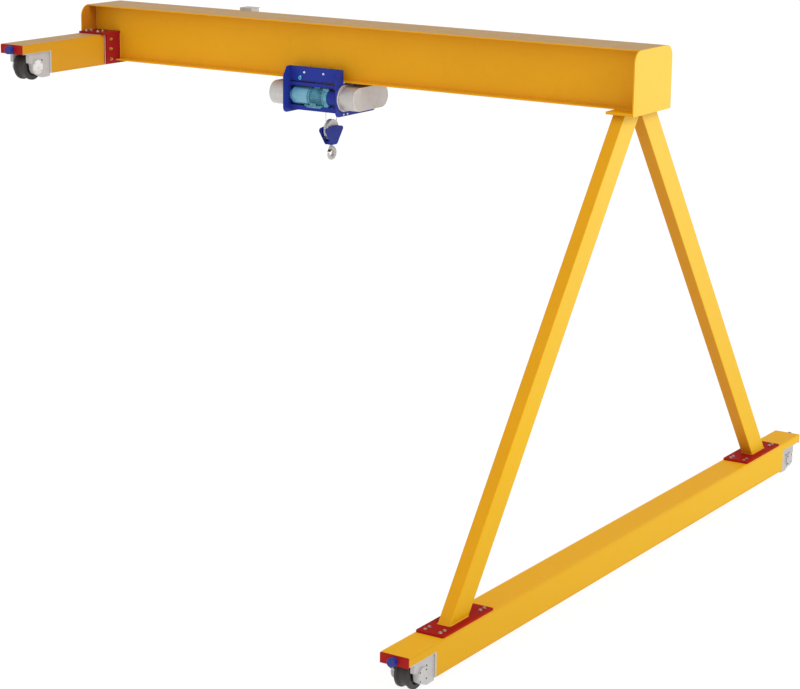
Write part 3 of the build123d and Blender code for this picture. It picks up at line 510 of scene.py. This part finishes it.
# ------------------------------------------------------------------ wheel blocks, buffers
ku = Kit("upper_block_caps", "crane_frame", M_CAP, "grey_paint")
kl = Kit("lower_block_caps", "crane_frame", M_CAP_L, "grey_paint")
kz = Kit("block_screws", "crane_frame", M_DARK, "hook_steel")
ks = Kit("cap_screws", "crane_frame", M_ZINC, "hook_steel")
kc = Kit("block_seams", "crane_frame", M_CAST, "grey_paint")
kb = Kit("buffer_noses", "crane_frame", M_BUFFER, "blue_rubber")
for x, top, bot, half, under_plate in ((0.0, 0.375, 0.0, UP, 0.262), (SPAN, LOWT, LOWB, LO, 0.260)):
    for s in (-1, 1):
        ay, az = s * (half - WU), bot + WZ
        for e in (-1, 1):
            # machined cap face with a raised lip and a centre plug
            kk = ku if x == 0.0 else kl
            kk.lathe((x + e * 0.163, ay, az), (e, 0, 0), [(0.0875, -0.0005), (0.0865, 0.0014), (0.0780, 0.0014), (0.0765, 0.0006),
                                                         (0.040, 0.0006), (0.0385, 0.0018), (0.018, 0.0018), (0.016, 0.0009), (0, 0.0009)], 72)
            for du in (-0.057, 0.057):
                for dw in (-0.047, 0.047):
                    (ks if x == 0.0 else kz).screw((x + e * 0.1634, ay + du, az + dw), (e, 0, 0), 0.0080, 0.0046, 0.004)
            kz.lathe((x + e * 0.146, s * (half - 0.362), bot + 0.168), (e, 0, 0), [(0.0105, -0.001), (0.0105, 0.0012), (0.007, 0.0012), (0.007, 0.0004), (0, 0.0004)], 24)
            # fillets where the cheek meets the back plate, the top plate and the boss
            kc.bead((x + e * 0.146, s * (half - 0.486), bot + 0.006), (x + e * 0.146, s * (half - 0.486), bot + under_plate - 0.002), (e, 0, 0), (0, s, 0), 0.006, 0.008, 70 + x + e)
            kc.bead((x + e * 0.146, s * (half - 0.134), bot + under_plate), (x + e * 0.146, s * (half - 0.480), bot + under_plate), (e, 0, 0), (0, 0, -1), 0.005, 0.008, 74 + x + e)
            kc.lathe((x + e * 0.146, ay, az), (e, 0, 0), [(0.0875, 0.0), (0.0925, -0.0004), (0.0905, 0.0016), (0.0885, 0.0040), (0.0875, 0.0)], 72)
            for u in (0.045, 0.085):                              # block to carriage bolts
                kz.lathe((x + e * 0.062, s * (half - u), bot + under_plate), (0, 0, -1), [(0.0105, -0.001), (0.0105, 0.0075), (0.009, 0.009), (0, 0.009)], 6, spin=u * 9)
                kz.lathe((x + e * 0.134, s * (half - u), bot + under_plate), (0, 0, -1), [(0.0105, -0.001), (0.0105, 0.0075), (0.009, 0.009), (0, 0.009)], 6, spin=u * 7)
        # buffer: moulded rings and the sunk head of its screw
        by, bz = s * (half + 0.012), top - 0.060
        for t in (0.016, 0.036):
            kb.lathe((x, by, bz), (0, s, 0), [(0.0475, t), (0.0488, t + 0.001), (0.0492, t + 0.003), (0.0488, t + 0.005), (0.0475, t + 0.006), (0.0470, t)], 56)
        kb.lathe((x, by, bz), (0, s, 0), [(0.0375, 0.0705), (0.0370, 0.0716), (0.0240, 0.0716), (0.0235, 0.0705)], 48)
        kz.lathe((x, by, bz), (0, s, 0), [(0.0095, 0.0690), (0.0095, 0.0712), (0.0085, 0.0717), (0.0042, 0.0717), (0.0042, 0.0700), (0, 0.0700)], 6)
ku.done()
kl.done()
kz.done()
ks.done()
kc.done()
kb.done()

# travel wheels: turned lips, hub ring and keeper screws
for wname, x, y, z in (("upper_front_wheel", 0.0, -UP + WU, WZ), ("upper_rear_wheel", 0.0, UP - WU, WZ),
                       ("lower_front_wheel", SPAN, -LO + WU, LOWB + WZ), ("lower_rear_wheel", SPAN, LO - WU, LOWB + WZ)):
    k = Kit(wname + "_detail", wname + "_body", M_TYRE, "wheel_iron")
    for e in (-1, 1):
        k.lathe((x + e * 0.086, y, z), (e, 0, 0), [(0.150, -0.001), (0.149, 0.0014), (0.140, 0.0014), (0.138, -0.001)], 72)
        k.lathe((x + e * 0.066, y, z), (e, 0, 0), [(0.084, -0.001), (0.082, 0.004), (0.070, 0.004), (0.068, -0.001)], 56)
        for i in range(6):
            a = math.pi / 3 * i + 0.3
            k.lathe((x + e * 0.066, y + 0.094 * math.cos(a), z + 0.094 * math.sin(a)), (e, 0, 0),
                    [(0.0065, -0.001), (0.0065, 0.004), (0.0055, 0.005), (0, 0.005)], 6)
    k.done()

# ------------------------------------------------------------------ electrical panel
PX0, PX1, PY0, PY1, PZ0, PZ1 = 1.698, 1.878, 0.330, 0.480, 0.340, 0.747
k = Kit("panel_door", "crane_frame", M_PANEL, "grey_paint")
k.box((PX0 + 0.006, PY1, PZ0 + 0.008), (PX1 - 0.006, PY1 + 0.014, PZ1 - 0.008), 0.004, 3)
k.box((PX0 - 0.003, PY0 + 0.002, PZ1 - 0.0075), (PX1 + 0.003, PY1 + 0.022, PZ1 - 0.0004), 0.0025, 2)   # rain lip
for zz in (PZ0 + 0.07, PZ1 - 0.07):
    k.lathe((PX0 + 0.004, PY1 + 0.009, zz - 0.018), (0, 0, 1), [(0.0055, 0), (0.006, 0.001), (0.006, 0.035), (0.0055, 0.036)], 18)
    k.box((PX0 + 0.003, PY1 + 0.006, zz - 0.016), (PX0 + 0.020, PY1 + 0.0175, zz + 0.016), 0.001, 1)
k.done()
k = Kit("panel_fittings", "crane_frame", M_BLACK, "hook_steel")
k.lathe((PX1 - 0.024, PY1 + 0.0135, (PZ0 + PZ1) / 2), (0, 1, 0), [(0.0125, 0), (0.0125, 0.002), (0.011, 0.0035), (0.006, 0.0035), (0.006, 0.001), (0, 0.001)], 28)
for gx in (PX0 + 0.045, PX0 + 0.090, PX0 + 0.135):
    k.lathe((gx, (PY0 + PY1) / 2, PZ0), (0, 0, -1), [(0.0135, -0.001), (0.0135, 0.005), (0.011, 0.006), (0.011, 0.014), (0.008, 0.019), (0.008, 0.024), (0, 0.024)], 12)
for bz in (0.400, 0.620):
    for gx in (-0.042, 0.042):
        k.lathe(((PX0 + PX1) / 2 + gx, 0.250, bz + 0.030), (0, 0, 1), [(0.007, -0.001), (0.007, 0.004), (0.006, 0.005), (0, 0.005)], 6)
k.done()
k = Kit("bracket_welds", "crane_frame", M_WELD, "yellow_paint")
for bz in (0.400, 0.620):
    for zz, dz in ((bz, -1), (bz + 0.030, 1)):
        k.bead(((PX0 + PX1) / 2 - 0.058, WEB, zz), ((PX0 + PX1) / 2 + 0.058, WEB, zz), (0, 1, 0), (0, 0, dz), 0.004, 0.006, zz)
k.done()

# ------------------------------------------------------------------ trolley plates and rails
k = Kit("trolley_detail", "trolley", M_BLUE, "trolley_paint")
for s in (-1, 1):
    # doubler on the wheel panel; its lower edge stands off the panel
    k.box((2.904, min(s * 0.2915, s * 0.2975), 0.034), (3.625, max(s * 0.2915, s * 0.2975), 0.189), 0.0015, 2)
    # turned-out lips on the rails
    k.box((2.899, min(s * 0.2995, s * 0.3035), -0.036), (3.630, max(s * 0.2995, s * 0.3035), -0.029), 0.0012, 1)
    k.box((2.899, min(s * 0.2995, s * 0.3035), -0.322), (3.630, max(s * 0.2995, s * 0.3035), -0.315), 0.0012, 1)
    for x in TWX:                                                 # axle plates
        k.lathe((x, s * 0.2970, TWZ), (0, s, 0), [(0.030, -0.001), (0.030, 0.002), (0.028, 0.003), (0.0, 0.003)], 40)
k.done()
k = Kit("trolley_welds", "trolley", M_WELD_B, "trolley_paint")
for s in (-1, 1):
    for x, d in ((2.898, 1), (3.631, -1)):
        k.bead((x, s * 0.2925, 0.020), (x, s * 0.2925, 0.191), (d, 0, 0), (0, s, 0), 0.005, 0.007, x + s)
        for z0, z1 in ((-0.036, 0.003), (-0.322, -0.269)):
            k.bead((x, s * 0.3005, z0), (x, s * 0.3005, z1), (d, 0, 0), (0, s, 0), 0.005, 0.007, x + s + z0)
for x, d in ((2.898, 1), (3.631, -1)):
    k.bead((x, -0.090, -0.300), (x, -0.090, -0.280), (d, 0, 0), (0, 1, 0), 0.004, 0.006, x)
k.done()
k = Kit("trolley_nuts", "trolley", M_NUT, "hook_steel")
for s in (-1, 1):
    for x in TWX:
        k.lathe((x, s * 0.300, TWZ), (0, s, 0), [(0.0130, -0.001), (0.0130, 0.002), (0, 0.002)], 28)
        k.lathe((x, s * 0.302, TWZ), (0, s, 0), [(0.0118, -0.001), (0.0118, 0.009), (0.0105, 0.011), (0.007, 0.011), (0.007, 0.015), (0.0055, 0.017), (0, 0.017)], 6)
for y in (-0.262, -0.184):                                        # bolt heads in the right plate
    k.lathe((3.643, y, -0.332), (1, 0, 0), [(0.0125, -0.006), (0.0125, 0.004), (0.0110, 0.006), (0.005, 0.006), (0.005, 0.003), (0, 0.003)], 24)
k.done()
k = Kit("trolley_painted_shade_strips", "trolley", M_BLACK, "hook_steel")
for s in (-1, 1):                                                 # black strips along the doublers' lower and upper edges stand in for the shade lines there: painted shade
    k.box((2.906, min(s * 0.2914, s * 0.2986), 0.0290), (3.623, max(s * 0.2914, s * 0.2986), 0.0345), 0.001, 1)
    k.box((2.906, min(s * 0.2914, s * 0.2945), 0.1885), (3.623, max(s * 0.2914, s * 0.2945), 0.1915), 0.001, 1)
k.done()
k = Kit("panel_eye", "trolley", M_EYE, "cyan_paint")
k.lathe((3.048, -0.2972, 0.072), (0, -1, 0), [(0.014, -0.001), (0.014, 0.003), (0.012, 0.004), (0.006, 0.006), (0.006, 0.016), (0, 0.016)], 24)
ring = [(3.048 + 0.0145 * math.sin(a), -0.309, 0.056 + 0.0165 * math.cos(a)) for a in [2 * math.pi * i / 28 for i in range(29)]]
k.tube(ring, 0.0048, 10, caps=False)
k.done()

# end covers: rim flange with a rolled edge, screws, joint line on the shell
def slot_pts(r, n=28):
    pts = []
    for i in range(n + 1):
        a = -math.pi / 2 + math.pi * i / n
        pts.append((0.211 + r * math.cos(a), -0.141 + r * math.sin(a)))
    for i in range(n + 1):
        a = math.pi / 2 + math.pi * i / n
        pts.append((-0.256 + r * math.cos(a), -0.141 + r * math.sin(a)))
    return pts


for side, mat in (("left", M_COVER), ("right", M_COVER_R)):
    e = 1 if side == "right" else -1
    x0 = 3.643 if e > 0 else 2.886
    k = Kit(side + "_cover_rim", "trolley", M_RIM, "grey_paint")
    loop = [(x0 + e * 0.0115, y, z) for y, z in slot_pts(0.1540)]
    k.tube(loop + [loop[0]], 0.0032, 8, caps=False)
    loop = [(x0 + e * 0.2222, y, z) for y, z in slot_pts(0.1345)]
    k.tube(loop + [loop[0]], 0.0028, 8, caps=False)
    k.done()
    k = Kit(side + "_cover_bands", "trolley", mat, "grey_paint")
    for xx in (0.070, 0.150):
        loop = [(x0 + e * xx, y, z) for y, z in slot_pts(0.1388)]
        k.tube(loop + [loop[0]], 0.0018, 6, caps=False)
    k.box((min(x0 + e * 0.015, x0 + e * 0.215), -0.020, -0.0032), (max(x0 + e * 0.015, x0 + e * 0.215), 0.006, -0.0006), 0.0008, 1)
    k.done()
    k = Kit(side + "_cover_screws", "trolley", M_ZINC, "hook_steel")
    for y, z in [(y, -0.141 + s * 0.1472) for y in (-0.22, -0.07, 0.07, 0.17) for s in (-1, 1)] + [(-0.256 - 0.1472, -0.141), (0.211 + 0.1472, -0.141)]:
        k.screw((x0 + e * 0.012, y, z), (e, 0, 0), 0.0048, 0.0035, 0.0022)
    k.done()

# ------------------------------------------------------------------ gear motor
k = Kit("motor_barrel", "trolley", M_BARREL, "cyan_paint")
k.lathe((2.898, MY, MZ), (1, 0, 0), [(0.070, 0.0), (0.070, 0.034), (0.094, 0.038), (0.102, 0.042), (0.1065, 0.050), (0.107, 0.060), (0.107, 0.252),
                                     (0.106, 0.258), (0.103, 0.262), (0.099, 0.262)], 96)
k.lathe((2.898, MY, MZ), (1, 0, 0), [(0.1085, 0.120), (0.1088, 0.1215), (0.1088, 0.1265), (0.1085, 0.128), (0.1068, 0.128), (0.1068, 0.120)], 96)
k.done(replaces=["gear_motor"])
k = Kit("motor_casing", "trolley", M_CYAN_C, "cyan_paint")
k.lathe((3.160, MY, MZ), (1, 0, 0), [(0.095, -0.002), (0.095, 0.012), (0.106, 0.013), (0.1075, 0.016), (0.1075, 0.032), (0.106, 0.035), (0.093, 0.036),
                                     (0.092, 0.205), (0.100, 0.210), (0.1075, 0.214), (0.1075, 0.232), (0.101, 0.238), (0.101, 0.262), (0.1055, 0.266),
                                     (0.1055, 0.278), (0.102, 0.281), (0.088, 0.281)], 84)
for i in range(30):                                               # cooling fins
    a = 2 * math.pi * (i + 0.5) / 30
    if math.cos(a) < -0.80:
        continue
    c, sn = math.cos(a), math.sin(a)
    vs = k.box((3.197, -0.0022, 0.088), (3.373, 0.0022, 0.1062), 0.0009, 1)
    for v in vs:
        yy, zz = v.co.y, v.co.z
        v.co.y = MY + yy * c - zz * sn
        v.co.z = MZ + yy * sn + zz * c
for i in range(12):                                               # flange bolts
    a = 2 * math.pi * (i + 0.5) / 12
    k.lathe((3.160 + 0.0345, MY + 0.0995 * math.sin(a), MZ + 0.0995 * math.cos(a)), (1, 0, 0), [(0.0065, -0.001), (0.0065, 0.006), (0.0055, 0.007), (0, 0.007)], 6)
    k.lathe((3.160 + 0.213, MY + 0.0995 * math.sin(a), MZ + 0.0995 * math.cos(a)), (-1, 0, 0), [(0.0065, -0.001), (0.0065, 0.006), (0.0055, 0.007), (0, 0.007)], 6)
k.box((3.378, -0.300, -0.079), (3.452, -0.215, -0.045), 0.004, 3)   # terminal box and its lid
k.box((3.374, -0.304, -0.058), (3.456, -0.211, -0.048), 0.002, 2)
k.box((3.226, -0.262, -0.073), (3.300, -0.206, -0.043), 0.004, 3)   # breather housing
k.lathe((3.3315, -0.236, -0.055), (0, 0, 1), [(0.010, 0), (0.010, 0.008), (0.007, 0.010), (0.007, 0.013), (0, 0.013)], 6)
for x0, x1 in ((3.110, 3.190), (3.290, 3.370)):                    # feet
    k.box((x0, -0.302, -0.268), (x1, -0.256, -0.254), 0.003, 2)
    for x in (x0 + 0.012, (x0 + x1) / 2, x1 - 0.012):
        k.prism([(-0.298, -0.255), (-0.262, -0.255), (-0.252, -0.232), (-0.270, -0.222), (-0.290, -0.236)], "yz", x - 0.004, x + 0.004, 0.001)
k.box((3.140, -0.306, -0.286), (3.345, -0.299, -0.262), 0.003, 2)   # foot skirt over the rail
k.box((3.200, -0.318, -0.262), (3.282, -0.292, -0.226), 0.005, 3)   # oil sump boss
k.lathe((3.241, -0.317, -0.243), (0, -1, 0), [(0.013, 0), (0.013, 0.003), (0.008, 0.0035), (0.008, 0.008), (0, 0.008)], 6)
k.box((3.395, -0.312, -0.262), (3.452, -0.268, -0.222), 0.004, 3)   # brake lead box
k.lathe((3.452, -0.290, -0.242), (1, 0, 0), [(0.009, -0.001), (0.009, 0.008), (0.006, 0.011), (0, 0.011)], 12)
k.done()
k = Kit("motor_coupling", "trolley", M_BLUE, "trolley_paint")
k.lathe((3.441, MY, MZ), (1, 0, 0), [(0.085, -0.002), (0.093, 0.0), (0.097, 0.005), (0.097, 0.050), (0.0955, 0.052), (0.0955, 0.056), (0.097, 0.058),
                                     (0.097, 0.140), (0.093, 0.147), (0.080, 0.149)], 84)
k.done()
k = Kit("motor_shaft", "trolley", M_DARK, "hook_steel")
# dark ring at the coupling's right end, standing in for the shade line there: painted shade
k.lathe((3.578, MY, MZ), (1, 0, 0), [(0.0968, 0.0), (0.0985, 0.001), (0.0985, 0.0095), (0.096, 0.0115), (0.0955, 0.0)], 84)
k.lathe((3.590, MY, MZ), (1, 0, 0), [(0.060, -0.002), (0.060, 0.010), (0.052, 0.012), (0.052, 0.026), (0.060, 0.028), (0.060, 0.041)], 48)
for x in (3.128, 3.172, 3.308, 3.352):
    k.lathe((x, -0.291, -0.254), (0, 0, 1), [(0.0065, -0.001), (0.0065, 0.006), (0.0055, 0.007), (0, 0.007)], 6)
k.done()

# ------------------------------------------------------------------ rope drum, falls
k = Kit("drum_shell", "trolley", M_DARK, "wheel_iron")
prof = [(0.040, 0.0), (0.040, 0.012), (0.099, 0.012), (0.103, 0.016), (0.103, 0.020), (0.100, 0.024), (0.0895, 0.024)]
n = 74
for i in range(n):
    a0 = 0.026 + (0.707 - 0.026) * i / n
    w = (0.707 - 0.026) / n
    prof += [(0.0898, a0), (0.0878, a0 + w * 0.3), (0.0872, a0 + w * 0.5), (0.0878, a0 + w * 0.7)]
prof += [(0.0895, 0.707), (0.0895, 0.709), (0.100, 0.709), (0.103, 0.713), (0.103, 0.717), (0.099, 0.721), (0.040, 0.721), (0.040, 0.733)]
k.lathe((2.898, DY, DZ), (1, 0, 0), prof, 64)
k.done(replaces=["rope_drum"])
k = Kit("drum_rope", "trolley", M_ROPE, "rope_steel")
w = (0.707 - 0.026) / n
turns = int((HX - 2.898 - 0.026) / w)
pts = []
for i in range(turns * 28 + 1):
    a = 2 * math.pi * i / 28
    pts.append((HX - i / 28 * w, DY - 0.0915 * math.cos(a), DZ + 0.0915 * math.sin(a)))
k.tube(pts, 0.0039, 6)
k.done()


def strands(k, path, r=0.0040, lay=0.050, n=6, seg=6):
    """n wires laid round a path of points; path must be closely spaced"""
    path = [Vector(p) for p in path]
    rc, rs = r * 0.60, r * 0.40
    k.tube(path, r * 0.42, 5)
    L = 0.0
    frames = []
    t = (path[1] - path[0]).normalized()
    ref = Vector((1, 0, 0))
    nrm = t.cross(ref).normalized()
    for i, p in enumerate(path):
        if i:
            L += (p - path[i - 1]).length
        t = ((path[min(i + 1, len(path) - 1)] - path[max(i - 1, 0)])).normalized()
        nrm = (nrm - t * nrm.dot(t)).normalized()
        frames.append((p, nrm.copy(), t.cross(nrm), L))
    for j in range(n):
        pts = []
        for p, a, b, l in frames:
            ang = 2 * math.pi * (l / lay + j / n)
            pts.append(p + (a * math.cos(ang) + b * math.sin(ang)) * rc)
        k.tube(pts, rs, seg)


for nm, y, zt in (("rope_fall_drum", 0.112, DZ), ("rope_fall_anchor", -0.112, -0.323)):
    k = Kit(nm + "_strands", "trolley", M_ROPE, "rope_steel")
    m = int((zt - SZ) / 0.008)
    strands(k, [(HX, y, zt + (SZ - zt) * i / m) for i in range(m + 1)])
    k.done(replaces=[nm], blend=("trolley", "hook_block", (HX, y, zt), (HX, y, SZ)))
k = Kit("rope_bend", "hook_block", M_ROPE, "rope_steel")
strands(k, [(HX, 0.112 * math.cos(a), SZ - 0.112 * math.sin(a)) for a in [math.pi * i / 44 for i in range(45)]])
k.done()
k = Kit("rope_anchor", "trolley", M_DARK, "hook_steel")
k.lathe((HX, -0.112, -0.323), (0, 0, -1), [(0.016, -0.001), (0.016, 0.004), (0.010, 0.006), (0.009, 0.016), (0.0055, 0.019), (0, 0.019)], 24)
k.lathe((HX, -0.112, -0.278), (0, 0, 1), [(0.018, -0.001), (0.018, 0.003), (0.013, 0.003), (0.013, 0.012), (0.011, 0.014), (0, 0.014)], 6)
for x in (2.960, 3.570):
    k.lathe((x, -0.112, -0.278), (0, 0, 1), [(0.010, -0.001), (0.010, 0.006), (0.009, 0.007), (0, 0.007)], 6)
k.done()

# trolley wheels: hub caps and rim lips
for wname, x, s in (("trolley_wheel_front_left", TWX[0], -1), ("trolley_wheel_front_right", TWX[1], -1),
                    ("trolley_wheel_rear_left", TWX[0], 1), ("trolley_wheel_rear_right", TWX[1], 1)):
    k = Kit(wname + "_detail", wname + "_body", M_STEEL, "rope_steel")
    k.lathe((x, s * 0.190, TWZ), (0, -s, 0), [(0.060, -0.001), (0.059, 0.0015), (0.052, 0.0015), (0.050, -0.001)], 48)
    k.lathe((x, s * 0.190, TWZ), (0, -s, 0), [(0.030, -0.001), (0.030, 0.006), (0.024, 0.009), (0.010, 0.009), (0.009, 0.012), (0, 0.012)], 36)
    for i in range(6):
        a = math.pi / 3 * i
        k.lathe((x + 0.041 * math.cos(a), s * 0.190, TWZ + 0.041 * math.sin(a)), (0, -s, 0), [(0.005, -0.001), (0.005, 0.004), (0.004, 0.005), (0, 0.005)], 6)
    k.done()

# ------------------------------------------------------------------ hook block
k = Kit("hook_block_bolts", "hook_block", M_BLUE, "trolley_paint")
for e in (-1, 1):
    x0 = HX + e * 0.050
    for y, z in ((-0.056, -0.730), (0.056, -0.730)):
        k.lathe((x0, y, z), (e, 0, 0), [(0.009, -0.001), (0.009, 0.004), (0.0075, 0.005), (0, 0.005)], 6, spin=y)
    k.box((min(x0, x0 + e * 0.004), -0.012, SZ + 0.019), (max(x0, x0 + e * 0.004), 0.012, SZ + 0.031), 0.001, 1)
k.done()
k = Kit("hook_block_spacers", "hook_block", M_DARK, "hook_steel")
for y, z in ((-0.112, -0.652), (0.112, -0.652)):
    k.lathe((HX - 0.0385, y, z), (1, 0, 0), [(0.0110, 0.0), (0.0110, 0.006), (0.0080, 0.008), (0.0080, 0.069), (0.0110, 0.071), (0.0110, 0.077)], 24)
k.done()
k = Kit("sheave_detail", "sheave_body", M_SHEAVE, "rope_steel")
for e in (-1, 1):
    k.lathe((HX + e * 0.026, 0, SZ), (e, 0, 0), [(0.1195, -0.001), (0.1185, 0.0012), (0.104, 0.0012), (0.102, -0.001)], 72)
    k.lathe((HX + e * 0.026, 0, SZ), (e, 0, 0), [(0.058, -0.001), (0.0565, 0.0022), (0.044, 0.0022), (0.0425, -0.001)], 56)
    for i in range(6):
        a = math.pi / 3 * i + 0.2
        k.lathe((HX + e * 0.026, 0.078 * math.cos(a), SZ + 0.078 * math.sin(a)), (e, 0, 0), [(0.0050, -0.001), (0.0050, 0.0012), (0.0040, 0.0022), (0, 0.0022)], 12)
k.done()
# safety latch in dark steel; its dark colour also fills the hook's throat, standing in for the shade there: partly
# painted shade
k = Kit("hook_latch", "hook_body", M_LATCH, "hook_steel")
for e in (-1, 1):                                                  # cheeks of the safety latch
    k.prism([(-0.020, -0.800), (-0.006, -0.806), (-0.010, -0.820), (-0.038, -0.838), (-0.050, -0.842), (-0.052, -0.834), (-0.038, -0.814)],
            "yz", HX + e * 0.0165 - 0.0016, HX + e * 0.0165 + 0.0016, 0.0006, 1)
k.prism([(-0.008, -0.814), (-0.042, -0.838), (-0.0455, -0.8345), (-0.0120, -0.8100)], "yz", HX - 0.016, HX + 0.016, 0.0005, 1)
k.lathe((HX - 0.023, -0.017, -0.805), (1, 0, 0), [(0.0055, 0), (0.0055, 0.004), (0.0035, 0.005), (0.0035, 0.041), (0.0055, 0.042), (0.0055, 0.046)], 16)
k.done()
k = Kit("hook_nut", "hook_body", M_HOOK, "rope_steel")
k.lathe((HX, 0, -0.696), (0, 0, 1), [(0.0245, -0.0005), (0.0245, 0.0015), (0.0225, 0.003), (0.010, 0.003), (0.009, 0.005), (0, 0.005)], 6)
k.lathe((HX, 0, -0.7515), (0, 0, -1), [(0.0235, 0.0), (0.0245, 0.001), (0.0245, 0.004), (0.0225, 0.0055), (0.0165, 0.0055)], 36)
k.lathe((HX, 0, -0.778), (0, 0, -1), [(0.0215, 0.0), (0.0240, 0.0015), (0.0240, 0.004), (0.0225, 0.006)], 36)
k.done()


# ------------------------------------------------------------------ camera, light, floor
YAW, PITCH, ROLL, F_PX = -0.5677, -0.2453, 0.0118, 2331.92
cam_d = bpy.data.cameras.new("camera")
cam = bpy.data.objects.new("camera", cam_d)
bpy.context.scene.collection.objects.link(cam)
cam_d.sensor_fit = "HORIZONTAL"
cam_d.sensor_width = 36.0
cam_d.lens = F_PX * 36.0 / 800.0
cam_d.clip_end = 1500
fwd = Vector((math.sin(YAW) * math.cos(PITCH), math.cos(YAW) * math.cos(PITCH), math.sin(PITCH)))
rt = fwd.cross(Vector((0, 0, 1))).normalized()
upv = rt.cross(fwd)
right = rt * math.cos(ROLL) + upv * math.sin(ROLL)
top = upv * math.cos(ROLL) - rt * math.sin(ROLL)
# the principal point lies half a pixel above the middle of the frame
cam_d.shift_y = -(344.5 - 344.0) / 800.0
cam.matrix_world = Matrix(((right.x, top.x, -fwd.x, 18.853), (right.y, top.y, -fwd.y, -22.823),
                           (right.z, top.z, -fwd.z, 3.710), (0, 0, 0, 1)))
bpy.context.scene.camera = cam

fl = bpy.data.meshes.new("floor")
R = 700.0
fl.from_pydata([(-R, -R, FLOOR - 0.001), (R, -R, FLOOR - 0.001), (R, R, FLOOR - 0.001), (-R, R, FLOOR - 0.001)], [], [(0, 1, 2, 3)])
floor = bpy.data.objects.new("floor", fl)
bpy.context.scene.collection.objects.link(floor)
fm, fnt, fb, ftc = base_mat("floor_pale")
fb.inputs["Base Color"].default_value = (0.12, 0.12, 0.12, 1)
fb.inputs["Roughness"].default_value = 0.9
fb.inputs["Specular IOR Level"].default_value = 0.1
fb.inputs["Emission Color"].default_value = (1, 1, 1, 1)
fb.inputs["Emission Strength"].default_value = 0.92
fl.materials.append(fm)

w = bpy.data.worlds.new("studio")
bpy.context.scene.world = w
w.use_nodes = True
w.node_tree.nodes["Background"].inputs["Color"].default_value = (1.0, 1.0, 1.0, 1)
w.node_tree.nodes["Background"].inputs["Strength"].default_value = 0.62


def sun(name, direction, strength, angle, col=(1, 1, 1)):
    d = bpy.data.lights.new(name, "SUN")
    d.energy = strength
    d.angle = angle
    d.color = col
    o = bpy.data.objects.new(name, d)
    bpy.context.scene.collection.objects.link(o)
    o.rotation_mode = "QUATERNION"
    o.rotation_quaternion = Vector(direction).to_track_quat("-Z", "Y")
    return o


sun("key", (-0.84, 0.16, -0.52), 1.1, 0.5)
sun("fill", (0.10, 0.88, -0.46), 0.30, 1.0)
bpy.context.scene.view_settings.view_transform = "Standard"
bpy.context.scene.view_settings.look = "None"
